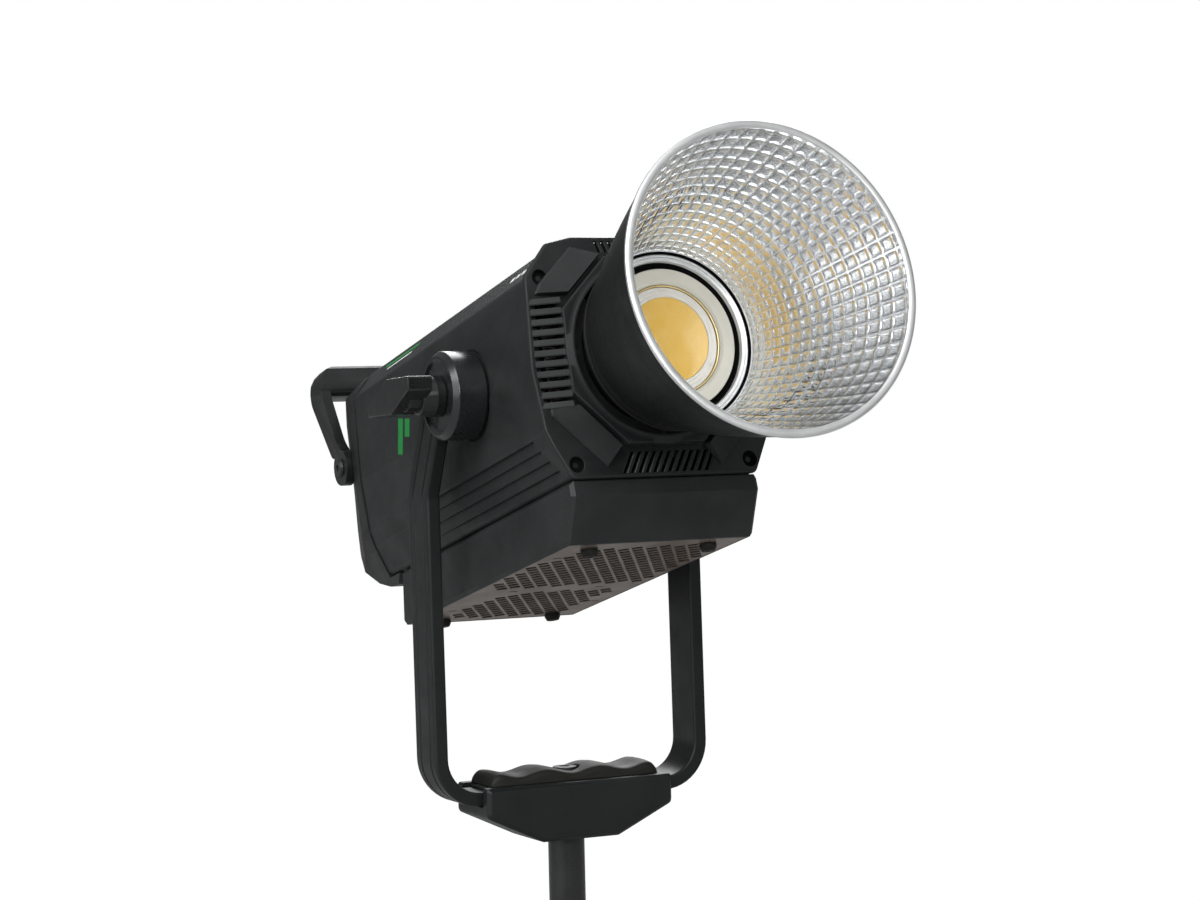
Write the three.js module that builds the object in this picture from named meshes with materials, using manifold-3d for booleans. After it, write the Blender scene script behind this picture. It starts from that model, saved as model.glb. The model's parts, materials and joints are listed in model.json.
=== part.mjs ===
// Yoke-mounted LED studio spotlight with a bayonet reflector.
// Millimetres, +Z up. The lamp points along -Y, X is across. The origin is the centre of the
// mounting post's lower face. The lamp head is modelled in its own frame, x across, y backwards
// and z up from the tilt axis, and is then tilted up about X.

import * as THREE from 'three';
import { mergeVertices } from 'three/addons/utils/BufferGeometryUtils.js';
import Module from 'manifold-3d';

const wasm = await Module();
wasm.setup();

// ---------------------------------------------------------------- driving dimensions
const GAP = 0.3; // clearance between touching pieces
const REST_TILT = 14.15; // degrees the lamp looks up at rest
const AXIS = { y: -33, z: 337 }; // tilt axis, from the post's lower face

const POST = { radius: 11.45, length: 79, chamfer: 1.2 };
const BLOCK = { halfWidth: 63.9, halfDepth: 24, top: 95.9, shoulder: 77.7, bottom: 60, footHalf: 26 };
const PAD = { halfWidth: 58, halfDepth: 17, base: 96.2, crest: 104.8, depth: 3.2 };
const PAD_WAVE = { period: 36.5, centre: -19, fade: 9 }; // along x
const BOLT = { shaft: 3.4, bore: 4.4, head: 7.6, headRoom: 8.5, headHeight: 6.8, key: 3.6 };
const BAR = { thick: 8.7, width: 30.3, outer: 94.1, bottom: 84.5, cornerRadius: 30 };
const BAR_BEND = { y: 4.5, z: 277 }; // where the arms lean forward
const BAR_END = { y: -26, z: 343 };
const HUB = { radius: 27, outer: 95.7, inner: 73.9, recess: 1.6, recessRadius: 21.5 };
const STUD = { radius: 5, bore: 5.5 };
const WASHER = { outer: 73.6, inner: 71.9, radius: 24 };

const HOUSING = { front: 93.7, rear: -186.7, wall: 3, pivotFlat: 71.6, pivotRadius: 28 };
const BEZEL = { back: 94, face: 97, frame: 105 };
const OCTAGON = { half: 58, cut: 25 };
const MOUNT = { plateBack: 98.6, plateFace: 101, bore: 45.6, rim: 51.6, notchRadius: 51, notchHalf: 5.2 };
const NOTCH_ANGLES = [42, 149, 256]; // degrees round the optical axis, from straight left
const REFLECTOR = { neck: 45, wall: 1.4, back: 91, step: 124, stepRadius: 51.5, rim: 249.8, rimRadius: 90 };
const LED = { emitter: 25.2, ring: 42.5, pedestal: 39 };
const BOX = { halfWidth: 61.8, top: -75.4, bottom: -110.1, wall: 2.6 };
const PLATE = { front: 76.4, rear: -169.4, thick: 1.6, slotHalf: 3, spacing: 8.15, slant: 30 };
const PLATE_FIELDS = [ // slotted fields: their corners (x, forward) and the phase of their columns
  { phase: 0, corners: [[-54, -57], [54, -57], [54, 30], [38, 60], [-33, 60], [-54, 22]] },
  { phase: -3.2, corners: [[-38, -159], [45, -159], [45, -76], [-25, -76], [-38, -100]] },
];
const FEET = { radius: 5.2, height: 4.5, x: 39.5, front: 63, rear: -160 };
const CAP = { wall: 3, panelFace: -228 };
const PANEL = { centre: 15, halfWidth: 50, halfHeight: 21, thick: 2.2 };
const SOCKET = { lean: 16.6, y: 233.3, z: -23.8 }; // sloping lower part of the rear cover
const INLET = { x: 22 };
const ROCKER = { x: -27, pivot: 2, throw: 14 };
const DISPLAY = [-43, -5, 12, 33];
const KNOB = { x: 26, z: 16, radius: 11.5 };
const BUTTONS = { x: [-38, -24, -10], z: 3.5 };
const GRIP = { outer: 77.4, seat: 70.4, boss: 12, u: -211, v: 5 };
const PIPES = [[-32, -3], [32, -3]];
const LOCK_TURN = 22; // degrees the bayonet turns to lock
const SCREW = { head: 4.6, shaft: 2 };
const FAN = { front: -130, rear: -155, radius: 52, hub: 17, blades: 7, z: -4 };

// ---------------------------------------------------------------- materials
const finish = ([color, roughness, metalness]) => (
  new THREE.MeshStandardMaterial({ color, roughness, metalness })
);
const FINISHES = {
  casing: [0x1d1f20, 0.62, 0.1],
  cover: [0x191b1c, 0.6, 0.1],
  yoke: [0x181a1b, 0.5, 0.3],
  grip: [0x141515, 0.75, 0],
  rubber: [0x101111, 0.9, 0],
  steel: [0x9a9c9e, 0.35, 1],
  blackSteel: [0x1b1c1d, 0.4, 0.8],
  plate: [0x6d625c, 0.5, 0.5],
  mirror: [0xd9dcde, 0.15, 1],
  aluminium: [0xb4b7b9, 0.4, 1],
  copper: [0xb06a3c, 0.35, 1],
  ceramic: [0xf1efe8, 0.5, 0],
  emitter: [0xe3b24a, 0.55, 0],
  board: [0x1f5a36, 0.6, 0],
  component: [0x23272e, 0.6, 0],
  display: [0x0c1216, 0.12, 0],
};

// ---------------------------------------------------------------- geometry helpers
const rad = THREE.MathUtils.degToRad;
const column = (x, y, z) => new THREE.Vector3(x, y, z);
const basis = (a, b, c) => new THREE.Matrix4().makeBasis(a, b, c);

// SECTION sweeps a section (x, height) forwards and stands a turned profile (radius, height) up.
// SIDE sweeps a side outline (forward, height) across. TURNED and ACROSS lay a turned profile
// (radius, forward) or (radius, x) along its axis. FLAT leaves an outline (x, y) lying level.
const SECTION = basis(column(1, 0, 0), column(0, 0, 1), column(0, -1, 0));
const SIDE = basis(column(0, -1, 0), column(0, 0, 1), column(-1, 0, 0));
const TURNED = basis(column(1, 0, 0), column(0, -1, 0), column(0, 0, -1));
const ACROSS = basis(column(0, 0, 1), column(1, 0, 0), column(0, 1, 0));
const FLAT = new THREE.Matrix4();
const UPRIGHT = SECTION;

function path(points) {
  return points.map(([a, b]) => new THREE.Vector2(a, b));
}

function prism(points, from, to, frame = SECTION, holes = []) {
  const shape = new THREE.Shape(path(points));
  shape.holes = holes.map((hole) => new THREE.Path(path(hole)));
  const options = { depth: to - from, bevelEnabled: false, curveSegments: 1 };
  const geometry = new THREE.ExtrudeGeometry(shape, options);
  return solid(geometry.translate(0, 0, from).applyMatrix4(frame));
}

function turned(profile, segments = 36, frame = TURNED) {
  return solid(new THREE.LatheGeometry(path([...profile, profile[0]]), segments).applyMatrix4(frame));
}

function rod(radius, from, to, segments = 16, frame = TURNED) {
  return turned([[0, from], [radius, from], [radius, to], [0, to]], segments, frame);
}

function tube(inner, outer, from, to, segments = 36, frame = TURNED) {
  return turned([[inner, from], [outer, from], [outer, to], [inner, to]], segments, frame);
}

function block(x0, x1, y0, y1, z0, z1) {
  const geometry = new THREE.BoxGeometry(x1 - x0, y1 - y0, z1 - z0);
  return solid(geometry.translate((x0 + x1) / 2, (y0 + y1) / 2, (z0 + z1) / 2));
}

// a closed geometry becomes a solid: shared corners are merged and zero-area faces dropped
function solid(geometry) {
  const bare = new THREE.BufferGeometry();
  bare.setAttribute('position', geometry.getAttribute('position'));
  bare.setIndex(geometry.getIndex());
  const merged = mergeVertices(bare, 1e-4);
  const index = merged.getIndex().array;
  const kept = [];
  for (let i = 0; i < index.length; i += 3) {
    const [a, b, c] = [index[i], index[i + 1], index[i + 2]];
    if (a !== b && b !== c && c !== a) kept.push(a, b, c);
  }
  const vertProperties = new Float32Array(merged.getAttribute('position').array);
  return new wasm.Manifold(new wasm.Mesh({ numProp: 3, vertProperties, triVerts: new Uint32Array(kept) }));
}

function geometryOf(manifold) {
  const mesh = manifold.getMesh();
  const geometry = new THREE.BufferGeometry();
  geometry.setAttribute('position', new THREE.BufferAttribute(mesh.vertProperties, 3));
  geometry.setIndex(new THREE.BufferAttribute(mesh.triVerts, 1));
  return geometry;
}

const moved = (part, x, y, z) => part.translate([x, y, z]);
const both = (points) => [...points, ...points.map(([x, z]) => [-x, z]).reverse()];
const grown = (points, by) => points.map(([a, b]) => [a + Math.sign(a) * by, b + Math.sign(b) * by]);
const circle = (radius, count, cx = 0, cy = 0) => Array.from({ length: count }, (_, i) => {
  const angle = (2 * Math.PI * i) / count;
  return [cx + radius * Math.cos(angle), cy + radius * Math.sin(angle)];
});

// every corner of a closed outline replaced by a short curve
function softened(points, radius, steps = 3) {
  const out = [];
  points.forEach(([x, y], i) => {
    const before = new THREE.Vector2(...points[(i + points.length - 1) % points.length]);
    const after = new THREE.Vector2(...points[(i + 1) % points.length]);
    const corner = new THREE.Vector2(x, y);
    const reach = Math.min(radius, corner.distanceTo(before) / 2.2, corner.distanceTo(after) / 2.2);
    const start = corner.clone().add(before.sub(corner).setLength(reach));
    const end = corner.clone().add(after.sub(corner).setLength(reach));
    const curve = new THREE.QuadraticBezierCurve(start, corner, end);
    curve.getPoints(steps).forEach((point) => out.push([point.x, point.y]));
  });
  return out;
}

// ---------------------------------------------------------------- assembly
const light = new THREE.Group();
const head = new THREE.Group();
head.position.set(0, AXIS.y, AXIS.z);
head.rotation.x = -rad(REST_TILT);
light.add(head);

function add(group, name, part, look) {
  const mesh = new THREE.Mesh(geometryOf(part), finish(FINISHES[look]));
  mesh.name = name;
  group.add(mesh);
}

// ---------------------------------------------------------------- stand side: post, block, yoke
const barSide = [
  [0, BLOCK.shoulder],
  [BAR_BEND.y, BAR_BEND.z],
  [BAR_END.y, BAR_END.z],
];

// the arms' side outline: a band of constant width that leans forward above the bend
function barBand(extra) {
  const half = BAR.width / 2 + extra;
  const [low, bend, end] = barSide.map(([y, z]) => new THREE.Vector2(y, z));
  const lean = end.clone().sub(bend).normalize();
  const side = new THREE.Vector2(lean.y, -lean.x);
  const mitre = half * Math.tan(Math.acos(lean.y) / 2);
  const tip = end.clone().addScaledVector(lean, extra);
  return [
    [low.x - half, low.y], [low.x + half, low.y],
    [bend.x + half, bend.y + mitre], [tip.x + side.x * half, tip.y + side.y * half],
    [tip.x - side.x * half, tip.y - side.y * half], [bend.x - half, bend.y - mitre],
  ];
}

function barProfile(points, halfSpan) {
  const outline = points.map(([y, z]) => [-y, z]);
  return prism(outline, -halfSpan, halfSpan, SIDE);
}

function yokeBar() {
  const inner = BAR.outer - BAR.thick;
  const top = BAR_END.z + 20;
  const innerRadius = BAR.cornerRadius - BAR.thick;
  const corner = (x, radius) => Array.from({ length: 7 }, (_, i) => {
    const angle = (i * Math.PI) / 12;
    const centre = x - radius;
    const base = BAR.bottom + BAR.cornerRadius;
    return [centre + radius * Math.cos(angle), base - radius * Math.sin(angle)];
  });
  const outside = both([[BAR.outer, top], ...corner(BAR.outer, BAR.cornerRadius)]);
  const inside = both([[inner, top], ...corner(inner, innerRadius)]).reverse();
  const elevation = prism([...outside, ...inside], -60, 60, SECTION);
  const bolted = elevation.subtract(rod(BOLT.bore, 0, BAR_BEND.z, 24, UPRIGHT));
  const bored = bolted.subtract(moved(rod(STUD.bore, -99, 99, 24, ACROSS), 0, AXIS.y, AXIS.z));
  return bored.intersect(barProfile(barBand(0), BAR.outer + 1));
}

function baseBlock() {
  const { halfWidth, top, shoulder, bottom, footHalf, halfDepth } = BLOCK;
  const outline = both([[halfWidth, top - 1.5], [halfWidth, shoulder], [footHalf, bottom]]);
  outline.push([-halfWidth + 1.5, top]);
  outline.push([halfWidth - 1.5, top]);
  const body = prism(outline, -halfDepth, halfDepth, SECTION);
  const halfSlot = BAR.width / 2 + GAP + 0.5;
  const channel = block(-halfWidth - 1, halfWidth + 1, -halfSlot, halfSlot, BAR.bottom - GAP, top + 1);
  const socket = rod(POST.radius + GAP, bottom - 1, POST.length + GAP, 32, UPRIGHT);
  const bolt = rod(BOLT.bore, POST.length, top, 24, UPRIGHT);
  return body.subtract(channel).subtract(socket).subtract(bolt);
}

function gripPad() {
  const { halfWidth, halfDepth, base, crest, depth } = PAD;
  const { period, centre, fade } = PAD_WAVE;
  const count = 40;
  const wave = Array.from({ length: count + 1 }, (_, i) => {
    const x = halfWidth - (2 * halfWidth * i) / count;
    const edge = Math.min(1, (halfWidth - Math.abs(x)) / fade);
    const swell = Math.sqrt(1 - (1 - edge) ** 2);
    const ripple = (depth / 2) * (1 - Math.cos((2 * Math.PI * (x - centre)) / period));
    return [x, base + 1 + (crest - base - 1 - ripple) * swell];
  });
  const body = prism([[halfWidth, base], ...wave, [-halfWidth, base]], -halfDepth, halfDepth, SECTION);
  return body.subtract(rod(BOLT.headRoom, base - 1, crest + 1, 24, UPRIGHT));
}

function clampBar() {
  const top = PAD.base - GAP;
  const half = BAR.width / 2;
  const bar = block(-PAD.halfWidth, PAD.halfWidth, -half, half, BAR.bottom + BAR.thick + GAP, top);
  return bar.subtract(rod(BOLT.bore, 0, top + 1, 24, UPRIGHT));
}

function baseBolt() {
  const { shaft, head, headHeight, key } = BOLT;
  const under = PAD.base + 0.1;
  const top = under + headHeight;
  return turned([[0, 60], [shaft, 60], [shaft, under], [head, under], [head, top - 0.8], [head - 0.8, top],
    [key, top], [key, top - 3.3], [0, top - 3.3]], 12, UPRIGHT);
}

function mountingPost() {
  const { radius, length, chamfer } = POST;
  return turned([[0, 0], [radius - chamfer, 0], [radius, chamfer], [radius, length - chamfer],
    [radius - chamfer, length], [3.8, length], [3.8, 59], [0, 59]], 24, UPRIGHT);
}

// side is -1 for left and +1 for right; a turned profile's height runs along x
function acrossAxis(profile, side, segments = 24) {
  const outline = profile.map(([radius, x]) => [radius, side * x]);
  return moved(turned(side < 0 ? outline.reverse() : outline, segments, ACROSS), 0, AXIS.y, AXIS.z);
}

function pivotHub(side) {
  const { radius, outer, inner, recess, recessRadius } = HUB;
  const body = acrossAxis([[STUD.bore, inner], [radius, inner], [radius, outer - 2.2], [radius - 2.2, outer],
    [recessRadius, outer], [recessRadius, outer - recess], [STUD.bore, outer - recess]], side, 32);
  const face = BAR.outer - BAR.thick - GAP;
  const room = barProfile(barBand(GAP + 0.05), 120);
  const outside = side < 0 ? block(-120, -face, -80, 80, 200, 400) : block(face, 120, -80, 80, 200, 400);
  return body.subtract(room.intersect(outside));
}

function tiltStud(side) {
  const tip = HOUSING.pivotFlat - HOUSING.wall - 7;
  return acrossAxis([[0, tip], [STUD.radius, tip], [STUD.radius, 99], [0, 99]], side, 24);
}

function frictionWasher(side) {
  return acrossAxis([[STUD.bore, WASHER.inner], [WASHER.radius, WASHER.inner],
    [WASHER.radius, WASHER.outer], [STUD.bore, WASHER.outer]], side);
}

function hubCap() {
  return acrossAxis([[STUD.bore, 94.5], [17, 94.5], [17, 98], [15, 100], [0, 100], [0, 99.3],
    [STUD.bore, 99.3]], 1);
}

function lockLever() {
  const corners = [[19, 12.5], [19.5, 4], [-8, -10.5], [-43, -12.5], [-46, -5], [-14, 10.5]];
  const outline = softened(corners, 2.5, 2);
  const wing = moved(prism(outline, 106.5, 123, SIDE), 0, AXIS.y, AXIS.z);
  const collar = acrossAxis([[0, 99.3], [STUD.bore, 99.3], [STUD.bore, 94.6], [12.5, 94.6], [12.5, 100],
    [11, 109], [0, 109]], -1, 32);
  return wing.add(collar);
}

add(light, 'mounting_post', mountingPost(), 'blackSteel');
add(light, 'base_block', baseBlock(), 'yoke');
add(light, 'grip_pad', gripPad(), 'rubber');
add(light, 'base_clamp_bar', clampBar(), 'blackSteel');
add(light, 'base_bolt', baseBolt(), 'blackSteel');
add(light, 'yoke_bar', yokeBar(), 'yoke');
add(light, 'tilt_hub_cap', hubCap(), 'grip');
add(light, 'tilt_lock_lever', lockLever(), 'grip');
for (const [word, side] of [['left', -1], ['right', 1]]) {
  add(light, `pivot_hub_${word}`, pivotHub(side), 'yoke');
  add(light, `tilt_stud_${word}`, tiltStud(side), 'steel');
  add(light, `friction_washer_${word}`, frictionWasher(side), 'rubber');
}

// ---------------------------------------------------------------- lamp head: casings
const SECTION_HALF = [
  [60.5, -75.1], [69, -54], [71.5, -45], [73.7, -10], [72, 46], [57, 63.5], [41, 67.6],
];
const BEZEL_HALF = [
  [60.5, -75.1], [71, -54], [74.4, -45.6], [78, -10], [74.8, 46.4], [58.5, 66.4], [41.7, 70.3],
];

function acrossHead(radius, from, to) {
  return rod(radius, from, to, 24, ACROSS);
}

function mainHousing() {
  const outline = softened(both(SECTION_HALF), 8);
  const inner = softened(both(grown(SECTION_HALF, -HOUSING.wall)), 6);
  const shell = prism(outline, HOUSING.rear, HOUSING.front, SECTION, [inner]);
  const bosses = [-1, 1].map((side) => {
    const ends = [side * (HOUSING.pivotFlat - 9), side * HOUSING.pivotFlat].sort((a, b) => a - b);
    return acrossHead(15, ends[0], ends[1]);
  });
  const flats = [-1, 1].map((side) => {
    const ends = [side * HOUSING.pivotFlat, side * 90].sort((a, b) => a - b);
    return acrossHead(HOUSING.pivotRadius, ends[0], ends[1]);
  });
  const solidShell = shell.add(bosses[0]).add(bosses[1]);
  const seats = solidShell.subtract(flats[0]).subtract(flats[1]);
  const slide = block(68, 80, -79, -66, -3.1, 3.1);
  return seats.subtract(acrossHead(STUD.bore, -90, 90)).subtract(slide);
}

function slot(x, z, width, height, lean, from, to) {
  const outline = [[-width, -height], [width, -height], [width + lean, height], [-width + lean, height]];
  return prism(outline.map(([a, b]) => [x + a, z + b]), from, to);
}

function ventSlots(from, to) {
  const slots = [];
  for (let i = 0; i < 8; i += 1) {
    const z = -34.5 + i * 9.4;
    for (const side of [-1, 1]) {
      const outline = [[60, z - 3.4], [70.5, z - 1], [70.5, z + 1.6], [60, z + 1]];
      slots.push(prism(outline.map(([x, h]) => [side * x, h]), from, to));
    }
  }
  for (let i = 0; i < 9; i += 1) {
    const x = -24 + i * 6;
    slots.push(slot(x, 64, 1.6, 2.9, 1.5, from, to));
    slots.push(slot(x, -66.5, 1.7, 4.8, 3, from, to));
  }
  return slots;
}

function octagon(half, cut) {
  return both([[cut, -half], [half, -cut], [half, cut], [cut, half]]);
}

function frontBezel() {
  const { back, face, frame } = BEZEL;
  const plate = prism(softened(both(BEZEL_HALF), 5), back, face);
  const base = prism(octagon(OCTAGON.half, OCTAGON.cut), back, frame - 2);
  const lip = prism(octagon(OCTAGON.half - 2, OCTAGON.cut - 0.8), back, frame);
  const opening = turned([[0, back - 1], [MOUNT.rim + 0.6, back - 1], [MOUNT.rim + 0.6, MOUNT.plateFace],
    [56, frame + 0.5], [0, frame + 0.5]], 40);
  let bezel = plate.add(base).add(lip).subtract(opening);
  ventSlots(back - 1, face + 1).forEach((cut) => { bezel = bezel.subtract(cut); });
  screwPlaces().forEach(([x, z]) => {
    bezel = bezel.subtract(moved(rod(SCREW.head + 0.5, face - 1.6, face + 1), x, 0, z));
    bezel = bezel.subtract(moved(rod(SCREW.shaft + 0.4, back - 1, face), x, 0, z));
  });
  return bezel;
}

function screwPlaces() {
  return [[-57, -66.5], [57, -66.5], [-65, 45.5], [65, 45.5]];
}

function bezelScrew([x, z]) {
  const { face, back } = BEZEL;
  const { head: headRadius, shaft } = SCREW;
  const profile = [[0, back - 0.2], [shaft, back - 0.2], [shaft, face - 1.3], [headRadius, face - 1.3],
    [headRadius, face + 0.2], [headRadius - 1, face + 0.6], [0, face + 0.6]];
  return moved(turned(profile, 12), x, 0, z);
}

function boxSide(inset) {
  return [[94.6 - inset, BOX.top - inset], [95.5 - inset, -84.8], [79.7 - inset, BOX.bottom],
    [-173.8 + inset, BOX.bottom], [-166 + inset, BOX.top - inset]];
}

function powerBox() {
  const outer = prism(boxSide(0), -BOX.halfWidth, BOX.halfWidth, SIDE);
  const room = boxSide(BOX.wall).map(([u, v]) => [u, v === BOX.bottom ? v - 1 : v]);
  const inner = prism(room, -BOX.halfWidth + BOX.wall, BOX.halfWidth - BOX.wall, SIDE);
  const cable = rod(9, BOX.top - 5, BOX.top + 1, 20, UPRIGHT);
  return outer.subtract(inner).subtract(cable);
}

function bottomPlate() {
  const { front, rear, thick, slotHalf, spacing, slant } = PLATE;
  const half = BOX.halfWidth - BOX.wall - GAP;
  const base = BOX.bottom + 0.2;
  let plate = block(-half, half, -front, -rear, base, base + thick);
  for (const { phase, corners } of PLATE_FIELDS) {
    const field = prism(corners.map(([x, forward]) => [x, -forward]), base - 1, base + thick + 1, FLAT);
    for (let i = -14; i <= 14; i += 1) {
      const across = i * spacing + phase;
      const slotted = block(across - slotHalf, across + slotHalf, -240, 240, base - 2, base + thick + 2);
      plate = plate.subtract(field.intersect(slotted.rotate([0, 0, -slant])));
    }
  }
  return plate;
}

function rubberFoot(x, forward) {
  const top = BOX.bottom + 0.2 - GAP;
  return moved(turned([[0, top - FEET.height], [FEET.radius - 1, top - FEET.height], [FEET.radius, top - 3.4],
    [FEET.radius, top], [0, top]], 20, UPRIGHT), x, -forward, 0);
}

const CAP_SIDE = [
  [-187, 70], [-187, -75.4], [-170.6, -75.4], [-180, -81.3], [-193, -80.4], [-206, -75.6],
  [-234.4, -52], [-238.6, -41.6], [-228, -6], [-228, 38], [-216, 51], [-201, 58],
];
const CAP_ROOM_SIDE = [
  [-150, 64.5], [-150, -72], [-188, -72], [-190, -76.5], [-204.8, -72.6], [-231.8, -50.4],
  [-235.2, -41.4], [-225, -6.8], [-225, 37], [-214.6, 48.3], [-199.8, 55.2], [-187, 64.5],
];

function capOutline(inset) {
  const upper = SECTION_HALF.slice(1).map(([x, z]) => [x + 0.8, z + Math.sign(z) * 0.4]);
  const half = [[58, -83], [61.3, -75.4], ...upper];
  return softened(both(inset ? grown(half, -inset) : half), 8);
}

function capPlan(inset) {
  return both([[74.6 - inset, 150], [74.6 - inset, 196], [69 - inset, 207], [60 - inset, 236 - inset],
    [50 - inset, 240 - inset]]);
}

function capSolid(sideOutline, inset) {
  const profile = prism(sideOutline, -80, 80, SIDE);
  const section = prism(capOutline(inset), -250, -140);
  const plan = prism(capPlan(inset), -90, 80, FLAT);
  return profile.intersect(section).intersect(plan);
}

const tiltedSocket = (part) => part.rotate([SOCKET.lean, 0, 0]).translate([0, SOCKET.y, SOCKET.z]);

function rearCover() {
  const shell = capSolid(CAP_SIDE, 0).subtract(capSolid(CAP_ROOM_SIDE, CAP.wall));
  const { centre, halfWidth, halfHeight, thick } = PANEL;
  const face = -CAP.panelFace;
  const [low, high] = [centre - halfHeight - GAP, centre + halfHeight + GAP];
  const pocket = block(-halfWidth - GAP, halfWidth + GAP, face - thick + 0.2, face + 5, low, high);
  const window = block(-halfWidth + 3, halfWidth - 3, face - 9, face, low + 3, high - 3);
  const inletHole = tiltedSocket(block(INLET.x - 14.3, INLET.x + 14.3, -9, 4, -10.8, 10.8));
  const rockerHole = tiltedSocket(block(ROCKER.x - 10.3, ROCKER.x + 10.3, -9, 4, -7.8, 7.8));
  let cover = shell.subtract(pocket).subtract(window).subtract(inletHole).subtract(rockerHole);
  for (const side of [-1, 1]) {
    const seat = [side * GRIP.seat, side * 90].sort((a, b) => a - b);
    const bore = [side * 50, side * 90].sort((a, b) => a - b);
    cover = cover.subtract(moved(acrossHead(GRIP.boss + 1.2, seat[0], seat[1]), 0, -GRIP.u, GRIP.v));
    cover = cover.subtract(moved(acrossHead(3, bore[0], bore[1]), 0, -GRIP.u, GRIP.v));
  }
  return cover;
}

function controlPanel() {
  const { centre, halfWidth, halfHeight, thick } = PANEL;
  const face = -CAP.panelFace;
  const back = face - thick + 0.5;
  let panel = block(-halfWidth, halfWidth, back, face + 0.4, centre - halfHeight, centre + halfHeight);
  const [x0, x1, z0, z1] = DISPLAY;
  panel = panel.subtract(block(x0, x1, back - 1, face + 2, z0, z1));
  panel = panel.subtract(moved(rod(3.6, CAP.panelFace - 3, CAP.panelFace + 5), KNOB.x, 0, KNOB.z));
  for (const x of BUTTONS.x) {
    panel = panel.subtract(block(x - 4.5, x + 4.5, back - 1, face + 2, BUTTONS.z - 2.5, BUTTONS.z + 2.5));
  }
  return panel;
}

function displayWindow() {
  const [x0, x1, z0, z1] = DISPLAY;
  const face = -CAP.panelFace;
  return block(x0 + GAP, x1 - GAP, face - 1.5, face + 0.2, z0 + GAP, z1 - GAP);
}

function dimmerKnob() {
  const front = CAP.panelFace - 0.9;
  const profile = [[0, front - 12], [KNOB.radius - 1.2, front - 12], [KNOB.radius, front - 10.8],
    [KNOB.radius + 0.6, front], [3, front], [3, front + 9], [0, front + 9]];
  let knob = moved(turned(profile, 24), KNOB.x, 0, KNOB.z);
  for (const [dx, dz] of circle(KNOB.radius + 1.3, 12)) {
    knob = knob.subtract(moved(rod(1.5, front - 13, front - 3, 6), KNOB.x + dx, 0, KNOB.z + dz));
  }
  return knob;
}

function panelButton(x) {
  const face = -CAP.panelFace;
  const cap = block(x - 4.1, x + 4.1, face - 1.6, face + 1.5, BUTTONS.z - 2.1, BUTTONS.z + 2.1);
  return cap.add(block(x - 1.4, x + 1.4, face - 5.6, face - 1.6, BUTTONS.z - 1.4, BUTTONS.z + 1.4));
}

function controlBoard() {
  const back = -CAP.panelFace - 7.6;
  const board = block(-45, 45, back - 1.6, back, -1, 31);
  return board.subtract(moved(rod(4, -back - 4, -back + 4), KNOB.x, 0, KNOB.z));
}

function mainsInlet() {
  const flange = block(-16.5, 16.5, GAP, 2.4, -13, 13);
  const body = block(-13.7, 13.7, -15, 1, -10.2, 10.2);
  const socket = prism([[-12, -6], [-8, -8.4], [8, -8.4], [12, -6], [12, 8.4], [-12, 8.4]], -3, 13);
  let inlet = flange.add(body).subtract(socket);
  for (const [x, z] of [[-7, -1.5], [7, -1.5], [0, 3]]) {
    inlet = inlet.add(block(x - 0.9, x + 0.9, -13.2, 0.5, z - 2, z + 2));
  }
  return tiltedSocket(moved(inlet, INLET.x, 0, 0));
}

function rockerFrame() {
  const flange = block(-12, 12, GAP, 1.8, -9.4, 9.4);
  const body = block(-9.9, 9.9, -12, 1, -7.4, 7.4);
  const well = block(-8.4, 8.4, -9, 3, -5.9, 5.9);
  return tiltedSocket(moved(flange.add(body).subtract(well), ROCKER.x, 0, 0));
}

function powerRocker() {
  const outline = [[-3.4, -5.2], [-1.4, -5.3], [-0.2, 0], [-1.4, 5.3], [-3.4, 5.2], [-6.5, 2], [-6.5, -2]];
  const key = prism(outline.map(([y, z]) => [-y - 3, z]), -7.9, 7.9, SIDE);
  const off = moved(moved(key, 0, ROCKER.pivot, 0).rotate([-ROCKER.throw / 2, 0, 0]), 0, -ROCKER.pivot, 0);
  return tiltedSocket(moved(off, ROCKER.x, 0, 0));
}

const HANDLE_BAR = [[-229, 59], [-229, 81], [-241, 81], [-250, 71], [-250, 59]];
const HANDLE_ARM = [
  [-229, 59], [-231, 81], [-241, 80], [-250, 70], [-250, 58], [-223, 13], [-206, 15], [-214, 24],
];

function carryHandle() {
  const { outer, seat, boss, u, v } = GRIP;
  let grip = prism(softened(HANDLE_BAR, 6), -outer, outer, SIDE);
  for (const side of [-1, 1]) {
    const [from, to] = [-side * outer, -side * (seat + GAP)].sort((a, b) => a - b);
    grip = grip.add(prism(softened(HANDLE_ARM, 4), from, to, SIDE));
    grip = grip.add(moved(acrossHead(boss, -to, -from), 0, -u, v));
  }
  const front = softened([[-outer, -20], [outer, -20], [outer, 81], [-outer, 81]], 16, 5);
  grip = grip.intersect(prism(front, -270, -180));
  for (const side of [-1, 1]) {
    const bore = [side * 60, side * 90].sort((a, b) => a - b);
    grip = grip.subtract(moved(acrossHead(3, bore[0], bore[1]), 0, -u, v));
  }
  return grip;
}

function handleScrew(side) {
  const { outer, u, v } = GRIP;
  const profile = [[0, 58], [2.6, 58], [2.6, outer + GAP], [6, outer + GAP], [5.4, outer + 2.3],
    [2, outer + 2.3], [2, outer + 1], [0, outer + 1]].map(([r, x]) => [r, side * x]);
  return moved(turned(side < 0 ? profile.reverse() : profile, 20, ACROSS), 0, -u, v);
}

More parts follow.
